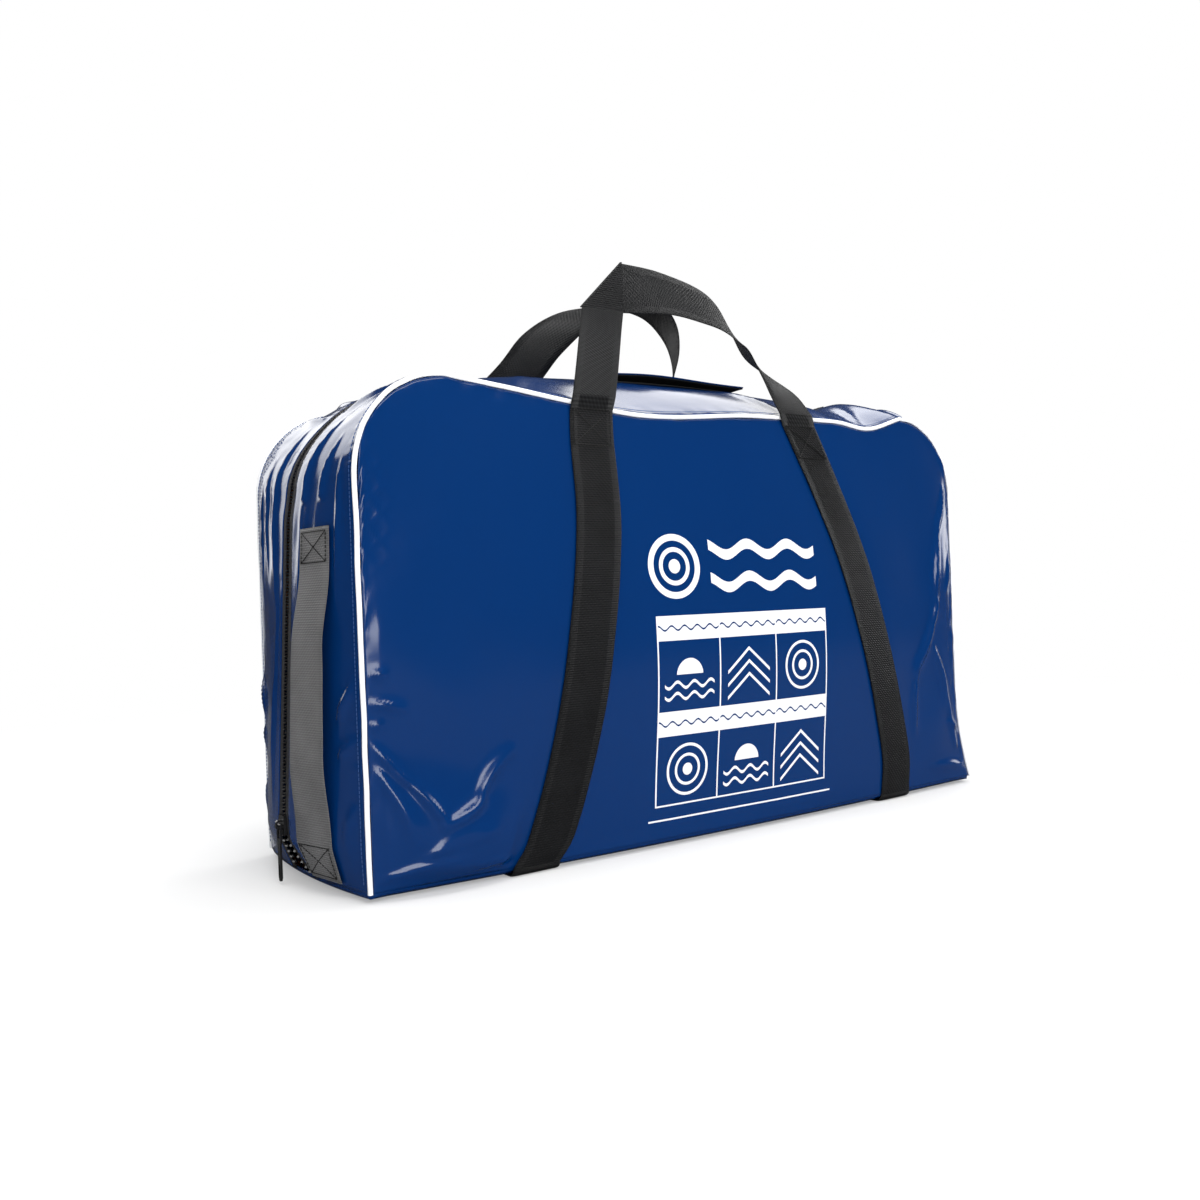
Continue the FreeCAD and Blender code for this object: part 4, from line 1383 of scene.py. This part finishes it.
# %% Stitches beside the piping
seam_inset = 0.0065
seam_lift = 0.0012
seam_steps = 700
seam_ends = (0.02, 4.98)


def seam_row(side):
    """Points along a piping seam, clear of the base at both ends."""
    first, last = seam_ends
    places = [first + (last - first) * k / seam_steps for k in range(seam_steps + 1)]
    return [loop_point(place, side * (half_depth - seam_inset), seam_lift) for place in places]


thread_blue = moulded_finish("blue_thread", (0.01, 0.06, 0.22), 0.5)
stitches("piping_seam_front", [seam_row(-1)], seam_thread, thread_blue, "blue_cloth")
stitches("piping_seam_rear", [seam_row(1)], seam_thread, thread_blue, "blue_cloth")

# %% [markdown]
# ## Stage, lamps and camera
# The bag stands on a pale floor that runs into a white background. Gloss is made by what it
# mirrors, so the lamps are large soft panels, set where the flat front doesn't mirror them. The
# camera is level with the bag's middle, as in the photograph.

# %% Floor
floor_mesh = bpy.data.meshes.new("floor")
bm = bmesh.new()
bmesh.ops.create_grid(bm, x_segments=1, y_segments=1, size=30.0)
bm.to_mesh(floor_mesh)
bm.free()
floor = bpy.data.objects.new("floor", floor_mesh)
bpy.context.collection.objects.link(floor)
floor_finish = Finish("pale_floor", (0.86, 0.86, 0.86), 0.9)
floor_finish.shader.inputs["Specular IOR Level"].default_value = 0.0
x, y, z = floor_finish.place()
glossy_ray = floor_finish.node("ShaderNodeLightPath", output=3)
camera_ray = floor_finish.node("ShaderNodeLightPath", output=0)
floor_finish.feed(Base_Color=floor_finish.mix(glossy_ray, (0.86, 0.86, 0.86), (0.12, 0.12, 0.12)))
far = floor_finish.node("ShaderNodeMapRange", {"interpolation_type": "SMOOTHSTEP"},
                        {"Value": (x * x + y * y) ** 0.5, "From Min": 0.55, "From Max": 1.9})
floor_finish.glow((0.30 + 0.70 * far) * camera_ray)
floor_mesh.materials.append(floor_finish.material)
print("floor laid")

# %% [markdown]
# The background is seen as white, lights the bag softly and is almost dark in mirrors. One plain
# colour for all three would lay a grey veil over the deep blue.

# %% World
world = bpy.data.worlds.new("studio")
bpy.context.scene.world = world
world.use_nodes = True
tree = world.node_tree
tree.nodes.clear()
out = tree.nodes.new("ShaderNodeOutputWorld")
fill = tree.nodes.new("ShaderNodeBackground")
fill.inputs["Color"].default_value = (1, 1, 1, 1)
fill.inputs["Strength"].default_value = 0.45
seen = tree.nodes.new("ShaderNodeBackground")
seen.inputs["Color"].default_value = (1, 1, 1, 1)
seen.inputs["Strength"].default_value = 1.0
dark = tree.nodes.new("ShaderNodeBackground")
dark.inputs["Color"].default_value = (1, 1, 1, 1)
dark.inputs["Strength"].default_value = 0.05
path = tree.nodes.new("ShaderNodeLightPath")
mirrored = tree.nodes.new("ShaderNodeMixShader")
tree.links.new(path.outputs["Is Glossy Ray"], mirrored.inputs["Fac"])
tree.links.new(fill.outputs[0], mirrored.inputs[1])
tree.links.new(dark.outputs[0], mirrored.inputs[2])
blend = tree.nodes.new("ShaderNodeMixShader")
tree.links.new(path.outputs["Is Camera Ray"], blend.inputs["Fac"])
tree.links.new(mirrored.outputs[0], blend.inputs[1])
tree.links.new(seen.outputs[0], blend.inputs[2])
tree.links.new(blend.outputs[0], out.inputs["Surface"])


# %% [markdown]
# Big lamps give soft shadows and long highlights. Each is aimed at the part of the bag that
# should mirror it, and none shows in the picture itself.

# %% Lamps
def panel_lamp(name, place, aim, width, height, power):
    data = bpy.data.lights.new(name, "AREA")
    data.shape = "RECTANGLE"
    data.size, data.size_y = width, height
    data.energy = power
    lamp = bpy.data.objects.new(name, data)
    lamp.location = place
    lamp.rotation_euler = (Vector(aim) - Vector(place)).to_track_quat("-Z", "Y").to_euler()
    bpy.context.collection.objects.link(lamp)
    lamp.visible_camera = False
    return lamp


middle = (0.0, 0.0, 0.22)
panel_lamp("overhead", (0.0, -0.2, 2.4), middle, 2.2, 1.2, 40.0)
panel_lamp("back_left", (-0.55, 2.3, 1.05), (-0.4, 0.0, 0.3), 1.6, 1.3, 15.0)
panel_lamp("left_front", (-0.95, -2.4, 0.62), (-0.3, 0.0, 0.15), 1.2, 1.0, 26.0)
panel_lamp("right_side", (2.7, -0.5, 0.95), (0.3, 0.0, 0.2), 0.6, 1.4, 12.0)
panel_lamp("front_high", (0.0, -2.0, 2.2), middle, 1.8, 0.8, 30.0)
panel_lamp("top_right", (1.5, 0.8, 2.0), (0.2, 0.0, 0.4), 1.2, 0.8, 10.0)

# %% [markdown]
# The camera is placed by its own axes, because the photograph was taken with a slight roll. Its
# lens is a moderate wide angle.

# %% Camera
camera_data = bpy.data.cameras.new("camera")
camera = bpy.data.objects.new("camera", camera_data)
bpy.context.collection.objects.link(camera)
camera_place = Vector((-0.75915 + shift_x, -0.97057, 0.24307))
yaw, pitch, roll = 0.6177, 0.0008, -0.0388
camera_data.sensor_width = 36.0
camera_data.lens = 32.73
forward = Vector((math.sin(yaw) * math.cos(pitch), math.cos(yaw) * math.cos(pitch), math.sin(pitch)))
right = Vector((math.cos(yaw), -math.sin(yaw), 0.0))
up = right.cross(forward)
turned_right = right * math.cos(roll) + up * math.sin(roll)
turned_up = up * math.cos(roll) - right * math.sin(roll)
matrix = camera.matrix_world.copy()
for row in range(3):
    matrix[row][0], matrix[row][1], matrix[row][2] = turned_right[row], turned_up[row], -forward[row]
    matrix[row][3] = camera_place[row]
camera.matrix_world = matrix
camera_data.clip_start = 0.01
bpy.context.scene.camera = camera
bpy.context.scene.view_settings.view_transform = "Standard"
